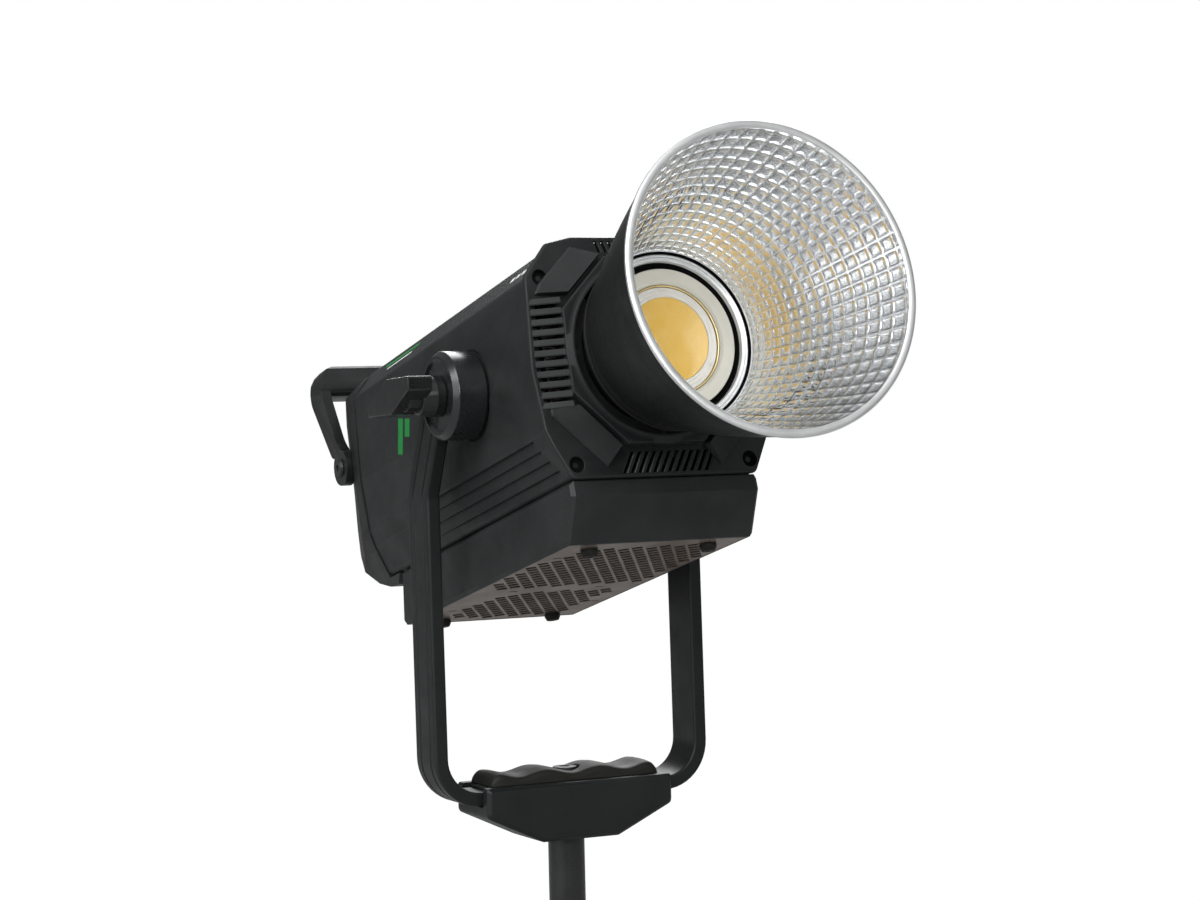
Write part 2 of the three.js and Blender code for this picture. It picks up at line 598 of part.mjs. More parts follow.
// ---------------------------------------------------------------- lamp head: light engine
function mountRing() {
  const { plateBack, plateFace, bore, rim, notchRadius, notchHalf } = MOUNT;
  const flangeFront = BEZEL.back - GAP;
  const inside = 50.4;
  let ring = turned([[inside, 86], [56, 86], [56, flangeFront], [rim, flangeFront], [rim, plateFace],
    [bore, plateFace], [bore, plateBack], [inside, plateBack]], 40);
  for (const angle of NOTCH_ANGLES) {
    const notch = block(0, notchRadius, -plateFace - 1, -plateBack + 1, -notchHalf, notchHalf);
    ring = ring.subtract(notch.rotate([0, angle - 180, 0]));
  }
  return ring;
}

function bellRadius(forward) {
  const { step, stepRadius, rim, rimRadius } = REFLECTOR;
  const share = (forward - step) / (rim - step);
  const mouth = rimRadius - 1.9;
  return Math.sqrt(stepRadius ** 2 + (mouth ** 2 - stepRadius ** 2) * share);
}

function reflectorBell() {
  const { neck, wall, back, step, rim, rimRadius } = REFLECTOR;
  const stations = Array.from({ length: 6 }, (_, i) => step + ((rim - 2.5 - step) * i) / 5);
  const outside = stations.map((u) => [bellRadius(u) + wall, u]);
  const inside = stations.map((u) => [bellRadius(u), u]).reverse();
  const bead = [[rimRadius, rim - 2.4], [rimRadius, rim - 0.8], [rimRadius - 0.8, rim], [rimRadius - 2.6, rim],
    [rimRadius - 3, rim - 1.2]];
  const throat = [[46.7, step - 2], [46.7, step - 4], [neck - wall, step - 12], [neck - wall, back]];
  const profile = [[neck, back], [neck, step - 15], [49.4, step - 8], ...outside, ...bead, ...inside, ...throat];
  let bell = turned(profile, 48);
  for (const angle of NOTCH_ANGLES) {
    const lug = tube(neck - 0.6, 49.8, 95.8, 98.2, 48);
    const wedge = prism([[0, 0], [60, -7], [60, 7]], 95, 99).rotate([0, angle - 180 + LOCK_TURN, 0]);
    bell = bell.add(lug.intersect(wedge));
  }
  return bell;
}

function releaseSlider() {
  const pad = block(75, 78.4, -84, -66, -7, 7);
  const stem = block(46.6, 76, -78, -73, -2.5, 2.5);
  const pin = block(46.6, 49.2, -97.4, -73, -1.4, 1.4);
  let slider = pad.add(stem).add(pin);
  for (let y = -82; y < -67; y += 3) {
    slider = slider.subtract(block(77.6, 80, y - 0.7, y + 0.7, -8, 8));
  }
  return slider;
}

function heatsink() {
  let sink = block(-18, 18, -66, 108, -21, 15);
  for (let i = 0; i < 9; i += 1) {
    const y = -62 + i * 20;
    sink = sink.add(block(-52, 52, y, y + 1.6, -48, 42));
  }
  for (const [x, z] of PIPES) sink = sink.subtract(moved(rod(3.4, -120, 80, 8), x, 0, z));
  return sink;
}

function heatSpreader() {
  return block(-40, 40, -79, -73.2, -40, 34);
}

function cobPedestal() {
  return rod(LED.pedestal, 79.3, 119.4, 36);
}

function retainingRing() {
  return turned([[39.4, 100], [LED.ring, 100], [LED.ring, 123.6], [41.6, 124.5], [34, 124.5], [33.2, 123.4],
    [33.2, 119.8], [39.4, 119.8]], 36);
}

function fanFrame() {
  const { front, rear, radius } = FAN;
  const half = radius + 3;
  const frame = block(-half, half, -front, -rear, FAN.z - half, FAN.z + half);
  let body = frame.subtract(moved(rod(radius, rear - 1, front + 1, 32), 0, 0, FAN.z));
  const motor = moved(rod(FAN.hub, rear, rear + 4, 24), 0, 0, FAN.z);
  const struts = [45, 135].map((angle) => moved(
    block(-radius - 3, radius + 3, -rear - 4, -rear, -2.5, 2.5).rotate([0, angle, 0]), 0, 0, FAN.z));
  body = body.add(motor).add(struts[0]).add(struts[1]);
  return body;
}

function fanRotor() {
  const { front, rear, radius, hub, blades } = FAN;
  let rotor = rod(hub, rear + 5, front - 2, 28);
  for (let i = 0; i < blades; i += 1) {
    const blade = block(hub - 2, radius - 1.5, -0.9, 0.9, -9, 9).rotate([52, 0, 0]);
    rotor = rotor.add(moved(blade, 0, -(front + rear) / 2, 0).rotate([0, (360 * i) / blades, 0]));
  }
  return moved(rotor, 0, 0, FAN.z);
}

// ---------------------------------------------------------------- lamp head: power supply
function powerBoard() {
  return block(-55, 55, -68, 158, -104.6, -103);
}

function transformer() {
  const core = block(-22, 22, -20, 24, -102.6, -80);
  const waist = block(-30, 30, -11, 15, -98, -84.5);
  return core.add(waist);
}

function powerHeatsink() {
  let sink = block(38, 41, -50, 130, -102.6, -82);
  for (let i = 0; i < 5; i += 1) {
    const z = -101 + i * 4.4;
    sink = sink.add(block(40, 50, -50, 130, z, z + 1.4));
  }
  return sink;
}

add(head, 'main_housing', mainHousing(), 'casing');
add(head, 'front_bezel', frontBezel(), 'casing');
screwPlaces().forEach((place, i) => add(head, `bezel_screw_${i + 1}`, bezelScrew(place), 'blackSteel'));
add(head, 'power_box', powerBox(), 'casing');
add(head, 'bottom_vent_plate', bottomPlate(), 'plate');
[[-1, FEET.front], [1, FEET.front], [-1, FEET.rear], [1, FEET.rear]].forEach(([side, forward], i) => {
  add(head, `rubber_foot_${i + 1}`, rubberFoot(side * FEET.x, forward), 'rubber');
});

add(head, 'rear_cover', rearCover(), 'cover');
add(head, 'control_panel', controlPanel(), 'grip');
add(head, 'display_window', displayWindow(), 'display');
add(head, 'dimmer_knob', dimmerKnob(), 'grip');
BUTTONS.x.forEach((x, i) => add(head, `panel_button_${i + 1}`, panelButton(x), 'rubber'));
add(head, 'control_board', controlBoard(), 'board');
add(head, 'mains_inlet', mainsInlet(), 'component');
add(head, 'rocker_frame', rockerFrame(), 'component');
add(head, 'power_rocker', powerRocker(), 'grip');
add(head, 'carry_handle', carryHandle(), 'grip');
add(head, 'handle_screw_left', handleScrew(-1), 'blackSteel');
add(head, 'handle_screw_right', handleScrew(1), 'blackSteel');
add(head, 'mount_ring', mountRing(), 'blackSteel');
add(head, 'reflector_bell', reflectorBell(), 'mirror');
add(head, 'release_slider', releaseSlider(), 'grip');
add(head, 'heatsink', heatsink(), 'aluminium');
PIPES.forEach(([x, z], i) => add(head, `heat_pipe_${i + 1}`, moved(rod(3, -112, 72.9, 8), x, 0, z), 'copper'));
add(head, 'heat_spreader', heatSpreader(), 'copper');
add(head, 'cob_pedestal', cobPedestal(), 'aluminium');
add(head, 'cob_substrate', rod(31.6, 119.8, 122, 40), 'ceramic');
add(head, 'cob_contact_ring', tube(32, 32.8, 119.8, 122.8), 'copper');
add(head, 'cob_emitter', rod(LED.emitter, 122.3, 124, 40), 'emitter');
add(head, 'led_retaining_ring', retainingRing(), 'ceramic');
add(head, 'fan_frame', fanFrame(), 'component');
add(head, 'fan_rotor', fanRotor(), 'component');
add(head, 'power_board', powerBoard(), 'board');
add(head, 'power_transformer', transformer(), 'component');
add(head, 'power_heatsink', powerHeatsink(), 'aluminium');
[[-40, 60], [-40, 88]].forEach(([x, y], i) => {
  add(head, `filter_capacitor_${i + 1}`, moved(rod(10, -102.6, -80, 20, UPRIGHT), x, y, 0), 'component');
});

export default light;
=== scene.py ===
"""The finished look of a yoke-mounted LED studio spotlight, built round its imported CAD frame.

Every piece is modelled in millimetres and scaled to metres as it is made. Pieces of the lamp head
are modelled in the lamp's own frame: x across, y backwards and z up from the tilt axis, so that a
distance u in front of the tilt axis is y = -u. Pieces of the yoke use the frame's own axes.
"""

import json
import math

import bmesh
import bpy
from mathutils import Matrix, Vector
from mathutils.geometry import delaunay_2d_cdt


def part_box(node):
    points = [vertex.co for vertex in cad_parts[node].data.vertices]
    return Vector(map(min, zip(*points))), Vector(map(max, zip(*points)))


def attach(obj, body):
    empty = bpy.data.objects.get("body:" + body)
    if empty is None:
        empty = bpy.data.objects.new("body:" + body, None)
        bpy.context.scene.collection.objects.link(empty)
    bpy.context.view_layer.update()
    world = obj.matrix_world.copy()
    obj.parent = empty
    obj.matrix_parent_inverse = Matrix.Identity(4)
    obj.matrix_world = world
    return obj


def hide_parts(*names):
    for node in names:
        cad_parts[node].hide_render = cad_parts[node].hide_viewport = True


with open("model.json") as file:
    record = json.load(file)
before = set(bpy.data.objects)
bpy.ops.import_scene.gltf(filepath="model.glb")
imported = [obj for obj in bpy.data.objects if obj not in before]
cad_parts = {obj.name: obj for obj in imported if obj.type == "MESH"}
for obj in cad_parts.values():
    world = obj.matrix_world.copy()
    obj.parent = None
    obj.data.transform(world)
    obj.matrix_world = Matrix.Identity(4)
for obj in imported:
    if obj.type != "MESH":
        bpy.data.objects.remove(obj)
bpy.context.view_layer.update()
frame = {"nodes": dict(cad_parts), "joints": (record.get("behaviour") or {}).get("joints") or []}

# ---- frame and driving sizes
MM = 0.001
JOINTS = {joint["name"]: joint for joint in frame["joints"]}
PIVOT = Vector(JOINTS["head_tilt"]["pos_m"])
FORWARD = Vector(JOINTS["reflector_turn"]["axis"])
REST_TILT = math.asin(FORWARD.z)

WORLD = Matrix.Identity(4)
TILT = Matrix.Translation(PIVOT)
LAMP = TILT @ Matrix.Rotation(-REST_TILT, 4, "X")


def box_in(matrix, node):
    """Lowest and highest corners of a CAD node in a frame of its own, in millimetres."""
    inverse = matrix.inverted()
    points = [inverse @ vertex.co / MM for vertex in frame["nodes"][node].data.vertices]
    return [Vector([pick(p[i] for p in points) for i in range(3)]) for pick in (min, max)]


def lamp_box(node):
    """Lowest and highest corners of a CAD node in the lamp's own frame, in millimetres."""
    return box_in(LAMP, node)


def yoke_box(node):
    """Lowest and highest corners of a CAD node in the frame's own axes, in millimetres."""
    low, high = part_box(node)
    return low / MM, high / MM


# ---- outlines
def rounded(points, radius, steps=4):
    """A closed outline with each corner replaced by a curve of about that radius."""
    out = []
    for i, point in enumerate(points):
        wanted = radius[i] if isinstance(radius, (list, tuple)) else radius
        corner = Vector(point)
        if wanted <= 0:
            out.append(corner)
            continue
        before = Vector(points[i - 1]) - corner
        after = Vector(points[(i + 1) % len(points)]) - corner
        half = before.angle(after) / 2
        reach = min(wanted / math.tan(half), before.length * 0.46, after.length * 0.46)
        start = corner + before.normalized() * reach
        end = corner + after.normalized() * reach
        for k in range(steps + 1):
            t = k / steps
            out.append(start * (1 - t) ** 2 + corner * 2 * t * (1 - t) + end * t ** 2)
    return out


def inset(points, distance):
    """A closed outline moved inwards by a distance, corner by corner."""
    points = [Vector(p) for p in points]
    area = sum(points[i - 1].x * p.y - p.x * points[i - 1].y for i, p in enumerate(points))
    turn = 1 if area > 0 else -1
    out = []
    for i, point in enumerate(points):
        into = point - points[i - 1]
        away = points[(i + 1) % len(points)] - point
        if into.length < 1e-6:
            into = away
        if away.length < 1e-6:
            away = into
        first = Vector((-into.y, into.x)).normalized() * turn
        second = Vector((-away.y, away.x)).normalized() * turn
        out.append(point + (first + second) * (distance / max(0.35, 1 + first.dot(second))))
    return out


def mirrored(points):
    """Half an outline, on the +x side from bottom to top, with its mirror image."""
    return [tuple(p) for p in points] + [(-x, y) for x, y in reversed(points)]


def box_outline(x0, x1, y0, y1):
    return [(x0, y0), (x1, y0), (x1, y1), (x0, y1)]


def inside(point, corners):
    """True if a point lies inside a convex outline."""
    turns = []
    for i, corner in enumerate(corners):
        a, b = Vector(corners[i - 1]), Vector(corner)
        turns.append((b.x - a.x) * (point[1] - a.y) - (b.y - a.y) * (point[0] - a.x))
    return all(t >= 0 for t in turns) or all(t <= 0 for t in turns)


def circle(radius, count):
    angles = [2 * math.pi * i / count for i in range(count)]
    return [(radius * math.cos(a), radius * math.sin(a)) for a in angles]


# ways to place an outline (a, b) at a distance t along the third direction
def section(a, b, t):
    return (a, -t, b)


def side(a, b, t):
    return (t, -a, b)


def plan(a, b, t):
    return (a, b, t)


def front(a, b, t):
    return (a, t, b)


def upright(a, b, t):
    return (t, a, b)


# ways to place a turned profile (radius, distance) at an angle
def about_beam(radius, along, angle):
    return (radius * math.cos(angle), -along, radius * math.sin(angle))


def about_tilt(radius, along, angle):
    return (along, radius * math.cos(angle), radius * math.sin(angle))


def about_post(radius, along, angle):
    return (radius * math.cos(angle), radius * math.sin(angle), along)


# ---- solids
def loft(rings, loop=False):
    """A closed mesh over rings of equal length, capped at both ends or joined end to end."""
    count = len(rings[0])
    bm = bmesh.new()
    verts = [bm.verts.new(p) for ring in rings for p in ring]
    for i in range(len(rings) if loop else len(rings) - 1):
        a = i * count
        b = (i + 1) % len(rings) * count
        for j in range(count):
            k = (j + 1) % count
            bm.faces.new((verts[a + j], verts[a + k], verts[b + k], verts[b + j]))
    if not loop:
        bm.faces.new(verts[:count])
        bm.faces.new(verts[-count:])
    bmesh.ops.remove_doubles(bm, verts=bm.verts, dist=1e-4)
    bmesh.ops.dissolve_degenerate(bm, edges=bm.edges, dist=1e-5)
    bmesh.ops.recalc_face_normals(bm, faces=bm.faces)
    return bm


def stacked(stations, place, loop=False):
    """A closed mesh over outlines (a, b), each placed at its own distance t."""
    return loft([[place(*p, t) for p in ring] for t, ring in stations], loop=loop)


def prism(outline, low, high, place):
    """An outline swept from low to high."""
    return stacked([(low, outline), (high, outline)], place)


def slab(corners, radius, low, high, place, edge, steps=3):
    """Sharp corners rounded by radius and swept from low to high, with end edges eased by edge."""
    radius = radius if isinstance(radius, (list, tuple)) else [radius] * len(corners)
    rings = []
    for k in range(steps + 1):
        angle = math.pi / 2 * k / steps
        shrink = edge * (1 - math.sin(angle))
        sizes = [max(r - shrink * 0.6, 0.05) for r in radius]
        rings.append((low + edge * (1 - math.cos(angle)), rounded(inset(corners, shrink), sizes)))
    rings += [(low + high - t, ring) for t, ring in reversed(rings)]
    return stacked(rings, place)


def bore(radius, low, high):
    """The profile of a plain round cutter."""
    return [(0, low), (radius, low), (radius, high), (0, high)]


def lathe(profile, segments, place, start=0.0, sweep=360.0):
    """A closed profile (radius, distance) turned about its axis."""
    whole = sweep >= 360
    count = segments if whole else segments + 1
    angles = [math.radians(start + sweep * i / segments) for i in range(count)]
    return loft([[place(r, h, a) for r, h in profile] for a in angles], loop=whole)


def block(x0, x1, y0, y1, z0, z1, edge=0.0):
    corners = box_outline(x0, x1, y0, y1)
    return slab(corners, edge, z0, z1, plan, edge) if edge else prism(corners, z0, z1, plan)


def perforated(outline, holes, low, high):
    """A level sheet with any number of separate holes, each a convex outline."""
    points, edges = [], []
    for loop in [outline, *holes]:
        first = len(points)
        points += [Vector(p) for p in loop]
        edges += [(first + i, first + (i + 1) % len(loop)) for i in range(len(loop))]
    spots, _, faces, _, _, _ = delaunay_2d_cdt(points, edges, [], 0, 1e-5)
    middles = [(sum((Vector(p) for p in hole), Vector((0, 0))) / len(hole), hole) for hole in holes]
    bm = bmesh.new()
    verts = [bm.verts.new((p.x, p.y, low)) for p in spots]
    for face in faces:
        centre = sum((spots[i] for i in face), Vector((0, 0))) / 3
        near = [hole for middle, hole in middles if (middle - centre).length < VENT["reach"]]
        if inside(centre, outline) and not any(inside(centre, hole) for hole in near):
            bm.faces.new([verts[i] for i in face])
    bmesh.ops.delete(bm, geom=[v for v in bm.verts if not v.link_faces], context="VERTS")
    raised = bmesh.ops.extrude_face_region(bm, geom=bm.faces[:])["geom"]
    lifted = [g for g in raised if isinstance(g, bmesh.types.BMVert)]
    bmesh.ops.translate(bm, vec=(0, 0, high - low), verts=lifted)
    bmesh.ops.recalc_face_normals(bm, faces=bm.faces)
    return bm


def joined(*parts):
    """Several meshes as one, without a boolean."""
    whole = bmesh.new()
    for part in parts:
        mesh = bpy.data.meshes.new("part")
        part.to_mesh(mesh)
        part.free()
        whole.from_mesh(mesh)
        bpy.data.meshes.remove(mesh)
    return whole


def moved(bm, x=0.0, y=0.0, z=0.0, turn=0.0, axis="Z"):
    """Turns a mesh about an axis through the origin, in degrees, and then moves it."""
    matrix = Matrix.Translation((x, y, z)) @ Matrix.Rotation(math.radians(turn), 4, axis)
    bmesh.ops.transform(bm, matrix=matrix, verts=bm.verts)
    return bm


def evaluated(obj):
    """The object's mesh with its modifiers applied. The object is removed."""
    graph = bpy.context.evaluated_depsgraph_get()
    mesh = bpy.data.meshes.new_from_object(obj.evaluated_get(graph), depsgraph=graph)
    old = obj.data
    bpy.data.objects.remove(obj)
    bpy.data.meshes.remove(old)
    return mesh


def linked(name, data):
    """An object of the scene made from a mesh, a light or a camera."""
    obj = bpy.data.objects.new(name, data)
    bpy.context.scene.collection.objects.link(obj)
    return obj


def loose(bm, name="loose"):
    mesh = bpy.data.meshes.new(name)
    bm.to_mesh(mesh)
    bm.free()
    return linked(name, mesh)


def boolean(bm, other, operation="DIFFERENCE"):
    """One mesh cut by another or, with UNION, joined to it."""
    target, tool = loose(bm), loose(other)
    modifier = target.modifiers.new("boolean", "BOOLEAN")
    modifier.operation = operation
    modifier.solver = "MANIFOLD"
    modifier.object = tool
    mesh = evaluated(target)
    bpy.data.objects.remove(tool)
    result = bmesh.new()
    result.from_mesh(mesh)
    bpy.data.meshes.remove(mesh)
    return result


def piece(name, bm, looks, body="head", matrix=LAMP, slot=None, node=None, bevel=0.0, segments=2, smooth=32):
    """Makes a mesh into a piece of the model, which rides on a body and can stand for a CAD node.

    The slot argument is not used.
    """
    bmesh.ops.scale(bm, vec=(MM, MM, MM), verts=bm.verts)
    obj = loose(bm, name)
    looks = looks if isinstance(looks, list) else [looks]
    for look in looks:
        obj.data.materials.append(look)
    if bevel:
        modifier = obj.modifiers.new("bevel", "BEVEL")
        modifier.width = bevel * MM
        modifier.segments = segments
        modifier.limit_method = "ANGLE"
        modifier.angle_limit = math.radians(28)
        obj = linked(name, evaluated(obj))
    obj.name = name
    obj.data.name = name
    if smooth:
        obj.data.shade_smooth()
        obj.data.set_sharp_from_angle(angle=math.radians(smooth))
        weighted = obj.modifiers.new("weighted", "WEIGHTED_NORMAL")
        weighted.keep_sharp = True
        weighted.weight = 60
    obj.matrix_world = matrix
    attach(obj, body)
    if node:
        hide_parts(node)


def shaped(node, bm, look, body="head", matrix=LAMP, **options):
    """A piece that stands for one CAD node."""
    piece(f"{node}.shaped", bm, look, body, matrix, node=node, **options)


def refined(node, look, bevel, segments, body):
    """A CAD node's own shape, welded and given rounded edges, standing for that node."""
    bm = bmesh.new()
    bm.from_mesh(frame["nodes"][node].data)
    bmesh.ops.transform(bm, matrix=Matrix.Scale(1 / MM, 4), verts=bm.verts)
    bmesh.ops.remove_doubles(bm, verts=bm.verts, dist=0.01)
    bmesh.ops.dissolve_limit(bm, angle_limit=math.radians(1), verts=bm.verts, edges=bm.edges)
    shaped(node, bm, look, body, WORLD, bevel=bevel, segments=segments)


# ---- materials
def shader(name):
    material = bpy.data.materials.new(name)
    material.use_nodes = True
    tree = material.node_tree
    return material, tree, tree.nodes["Principled BSDF"]


def node(tree, kind, **inputs):
    made = tree.nodes.new(kind)
    for socket, value in inputs.items():
        made.inputs[socket.replace("_", " ")].default_value = value
    return made


def noise_of(tree, scale, detail=4.0, stretch=None):
    """A noise in the object's own coordinates; scale counts features per metre."""
    coordinates = tree.nodes.new("ShaderNodeTexCoord")
    source = coordinates.outputs["Object"]
    if stretch:
        mapping = tree.nodes.new("ShaderNodeMapping")
        mapping.inputs["Scale"].default_value = stretch
        tree.links.new(source, mapping.inputs["Vector"])
        source = mapping.outputs["Vector"]
    made = node(tree, "ShaderNodeTexNoise", Scale=scale, Detail=detail)
    tree.links.new(source, made.inputs["Vector"])
    return made.outputs["Fac"]


def ramp(tree, factor, low, high, start=0.35, end=0.65):
    """A factor mapped between two values, or between two colours."""
    if isinstance(low, (tuple, list)):
        made = tree.nodes.new("ShaderNodeValToRGB")
        made.color_ramp.elements[0].position = start
        made.color_ramp.elements[0].color = (*low, 1)
        made.color_ramp.elements[1].position = end
        made.color_ramp.elements[1].color = (*high, 1)
        tree.links.new(factor, made.inputs["Fac"])
        return made.outputs["Color"]
    made = tree.nodes.new("ShaderNodeMapRange")
    for socket, value in (("From Min", start), ("From Max", end), ("To Min", low), ("To Max", high)):
        made.inputs[socket].default_value = value
    tree.links.new(factor, made.inputs["Value"])
    return made.outputs["Result"]


def math_of(tree, operation, *values):
    """A sum, product or wave of numbers and other nodes' outputs."""
    made = tree.nodes.new("ShaderNodeMath")
    made.operation = operation
    for socket, value in zip(made.inputs, values):
        if isinstance(value, float):
            socket.default_value = value
        else:
            tree.links.new(value, socket)
    return made.outputs[0]


def blended(tree, factor, a, b):
    """A mix of two colours, each a plain colour or another node's output."""
    made = tree.nodes.new("ShaderNodeMix")
    made.data_type = "RGBA"
    if isinstance(factor, float):
        made.inputs["Factor"].default_value = factor
    else:
        tree.links.new(factor, made.inputs["Factor"])
    for socket, value in (("A", a), ("B", b)):
        target = [s for s in made.inputs if s.name == socket and s.type == "RGBA"][0]
        if isinstance(value, tuple):
            target.default_value = (*value, 1)
        else:
            tree.links.new(value, target)
    return [s for s in made.outputs if s.type == "RGBA"][0]


def dress(tree, bsdf, colour, roughness, **values):
    """Feeds a shader's colour and roughness, and sets its other values."""
    tree.links.new(colour, bsdf.inputs["Base Color"])
    tree.links.new(roughness, bsdf.inputs["Roughness"])
    for socket, value in values.items():
        bsdf.inputs[socket.replace("_", " ")].default_value = value


def bumped(tree, bsdf, *layers):
    """Bumps on a shader: each layer is a height and its depth in millimetres."""
    normal = None
    for height, depth in layers:
        bump = tree.nodes.new("ShaderNodeBump")
        bump.inputs["Strength"].default_value = 1.0
        bump.inputs["Distance"].default_value = depth * MM
        tree.links.new(height, bump.inputs["Height"])
        if normal is not None:
            tree.links.new(normal, bump.inputs["Normal"])
        normal = bump.outputs["Normal"]
    tree.links.new(normal, bsdf.inputs["Normal"])


def grained(name, colour, wear_and_highlight_colour, roughness, grain, depth, specular=0.5, metallic=0.0):
    """Textured paint or moulded plastic: fine grain, uneven sheen, paler edges that are part wear and part
    painted highlight.
    """
    material, tree, bsdf = shader(name)
    grain_noise = noise_of(tree, grain, 3.0)
    patches = noise_of(tree, 26.0, 5.0)
    darker = tuple(c * 0.82 for c in colour)
    lighter = tuple(c * 1.22 for c in colour)
    mottled = ramp(tree, patches, darker, lighter, 0.3, 0.7)
    speckled = blended(tree, 0.35, mottled, ramp(tree, grain_noise, darker, lighter, 0.4, 0.6))
    geometry = tree.nodes.new("ShaderNodeNewGeometry")
    # pointiness lightens convex edges towards the edge colour: part wear, part painted highlight
    edges = ramp(tree, geometry.outputs["Pointiness"], 0.0, 0.75, 0.515, 0.6)
    wear_and_highlight_mask = math_of(tree, "MULTIPLY", edges, ramp(tree, patches, 0.25, 1.0, 0.35, 0.6))
    sheen = ramp(tree, noise_of(tree, 60.0, 6.0), roughness - 0.06, roughness + 0.08, 0.3, 0.7)
    dress(tree, bsdf, blended(tree, wear_and_highlight_mask, speckled, wear_and_highlight_colour), sheen,
          Metallic=metallic, Specular_IOR_Level=specular)
    bumped(tree, bsdf, (grain_noise, depth), (noise_of(tree, grain / 3.2, 2.0), depth * 0.8))
    return material


def metal(name, colour, roughness, stretch=(1, 1, 1), scale=900.0, depth=0.01):
    """Bare metal with a fine directional grain and faint marks."""
    material, tree, bsdf = shader(name)
    brushed = noise_of(tree, scale, 4.0, stretch)
    stains = noise_of(tree, 35.0, 5.0)
    dull = tuple(c * 0.86 for c in colour)
    sheen = ramp(tree, brushed, roughness - 0.05, roughness + 0.1, 0.3, 0.7)
    dress(tree, bsdf, ramp(tree, stains, dull, colour, 0.3, 0.6), sheen, Metallic=1.0)
    bumped(tree, bsdf, (brushed, depth))
    return material


def plain(name, colour, roughness, spread=0.08, scale=80.0, depth=0.01, coat=0.0, specular=0.5):
    """A smooth moulded or fired surface, very slightly uneven in colour, sheen and height."""
    material, tree, bsdf = shader(name)
    uneven = noise_of(tree, scale, 5.0)
    low = tuple(c * (1 - spread) for c in colour)
    high = tuple(min(1.0, c * (1 + spread)) for c in colour)
    sheen = ramp(tree, uneven, roughness - 0.04, roughness + 0.05, 0.3, 0.7)
    dress(tree, bsdf, ramp(tree, uneven, low, high, 0.3, 0.7), sheen,
          Coat_Weight=coat, Specular_IOR_Level=specular)
    bumped(tree, bsdf, (noise_of(tree, scale * 9, 3.0), depth))
    return material


DIE_PITCH = 2.1


def phosphor():
    """Yellow phosphor over a grid of small dies that show through as paler dots."""
    material, tree, bsdf = shader("phosphor")
    coordinates = tree.nodes.new("ShaderNodeTexCoord")
    split = tree.nodes.new("ShaderNodeSeparateXYZ")
    tree.links.new(coordinates.outputs["Object"], split.inputs["Vector"])
    waves = []
    for axis in ("X", "Z"):
        angle = math_of(tree, "MULTIPLY", split.outputs[axis], 2 * math.pi / (DIE_PITCH * MM))
        waves.append(math_of(tree, "COSINE", angle))
    dots = math_of(tree, "MULTIPLY", *waves)
    grid = ramp(tree, dots, (0.80, 0.46, 0.06), (0.93, 0.66, 0.18), 0.1, 0.75)
    cloudy = ramp(tree, noise_of(tree, 90.0, 4.0), (0.82, 0.49, 0.05), (0.88, 0.60, 0.16), 0.3, 0.7)
    sheen = ramp(tree, noise_of(tree, 500.0), 0.32, 0.46)
    dress(tree, bsdf, blended(tree, 0.5, grid, cloudy), sheen, Coat_Weight=0.6, Coat_Roughness=0.12)
    bumped(tree, bsdf, (dots, 0.03))
    return material


def mirror():
    """Bright rolled aluminium: clear reflections with a slight haze and fine drawn lines."""
    material, tree, bsdf = shader("mirror")
    haze = noise_of(tree, 220.0, 5.0)
    tint = ramp(tree, haze, (0.84, 0.85, 0.855), (0.91, 0.915, 0.92), 0.3, 0.7)
    dress(tree, bsdf, tint, ramp(tree, haze, 0.07, 0.13, 0.3, 0.7), Metallic=1.0)
    bumped(tree, bsdf, (noise_of(tree, 160.0, 2.0), 0.008))
    return material


def seen_apart(tree, elsewhere, seen, output, share):
    """Shows the camera a share of one shader, and everything else only the other."""
    sight = tree.nodes.new("ShaderNodeLightPath")
    factor = math_of(tree, "MULTIPLY", sight.outputs["Is Camera Ray"], share)
    mixed = tree.nodes.new("ShaderNodeMixShader")
    for source, socket in ((factor, 0), (elsewhere.outputs[0], 1), (seen.outputs[0], 2)):
        tree.links.new(source, mixed.inputs[socket])
    tree.links.new(mixed.outputs["Shader"], output.inputs["Surface"])


FLOOR = {"radius": 14.0, "thick": 0.02, "grey": 0.33, "glow": 1.04, "glow_share": 0.95}


def floor_material():
    """A floor that glows white to the camera over a faint trace of its own soft shadows."""
    material, tree, bsdf = shader("floor")
    bsdf.inputs["Base Color"].default_value = (*[FLOOR["grey"]] * 3, 1)
    bsdf.inputs["Roughness"].default_value = 0.9
    glow = node(tree, "ShaderNodeEmission", Color=(1, 1, 1, 1), Strength=FLOOR["glow"])
    seen_apart(tree, bsdf, glow, tree.nodes["Material Output"], FLOOR["glow_share"])
    return material


# look, its colour, its paler colour at edges (part wear, part painted highlight), roughness, grains per
# metre, grain depth, specular
PAINT = grained("casing_paint", (0.0095, 0.0108, 0.011), (0.03, 0.033, 0.033), 0.48, 1300, 0.05, 0.36)
YOKE_PAINT = grained("yoke_paint", (0.0060, 0.0069, 0.0070), (0.030, 0.032, 0.032), 0.42, 1500, 0.035, 0.32)
BEZEL_PLASTIC = grained(
    "bezel_plastic", (0.009, 0.0103, 0.0105), (0.03, 0.032, 0.032), 0.46, 1500, 0.045, 0.36)
COVER_PLASTIC = grained("cover_plastic", (0.0085, 0.009, 0.0092), (0.028, 0.03, 0.03), 0.46, 1300, 0.05, 0.36)
GRIP_PLASTIC = grained("grip_plastic", (0.008, 0.0085, 0.0088), (0.032, 0.033, 0.033), 0.3, 1700, 0.01)
RUBBER = grained("rubber", (0.0100, 0.0098, 0.0080), (0.022, 0.022, 0.018), 0.6, 1000, 0.07, 0.25)
BLACK_STEEL = grained("black_steel", (0.011, 0.0115, 0.012), (0.06, 0.06, 0.06), 0.3, 2200, 0.012)
RING_METAL = grained("mount_metal", (0.009, 0.0095, 0.0098), (0.05, 0.05, 0.05), 0.36, 1900, 0.02, 0.4)
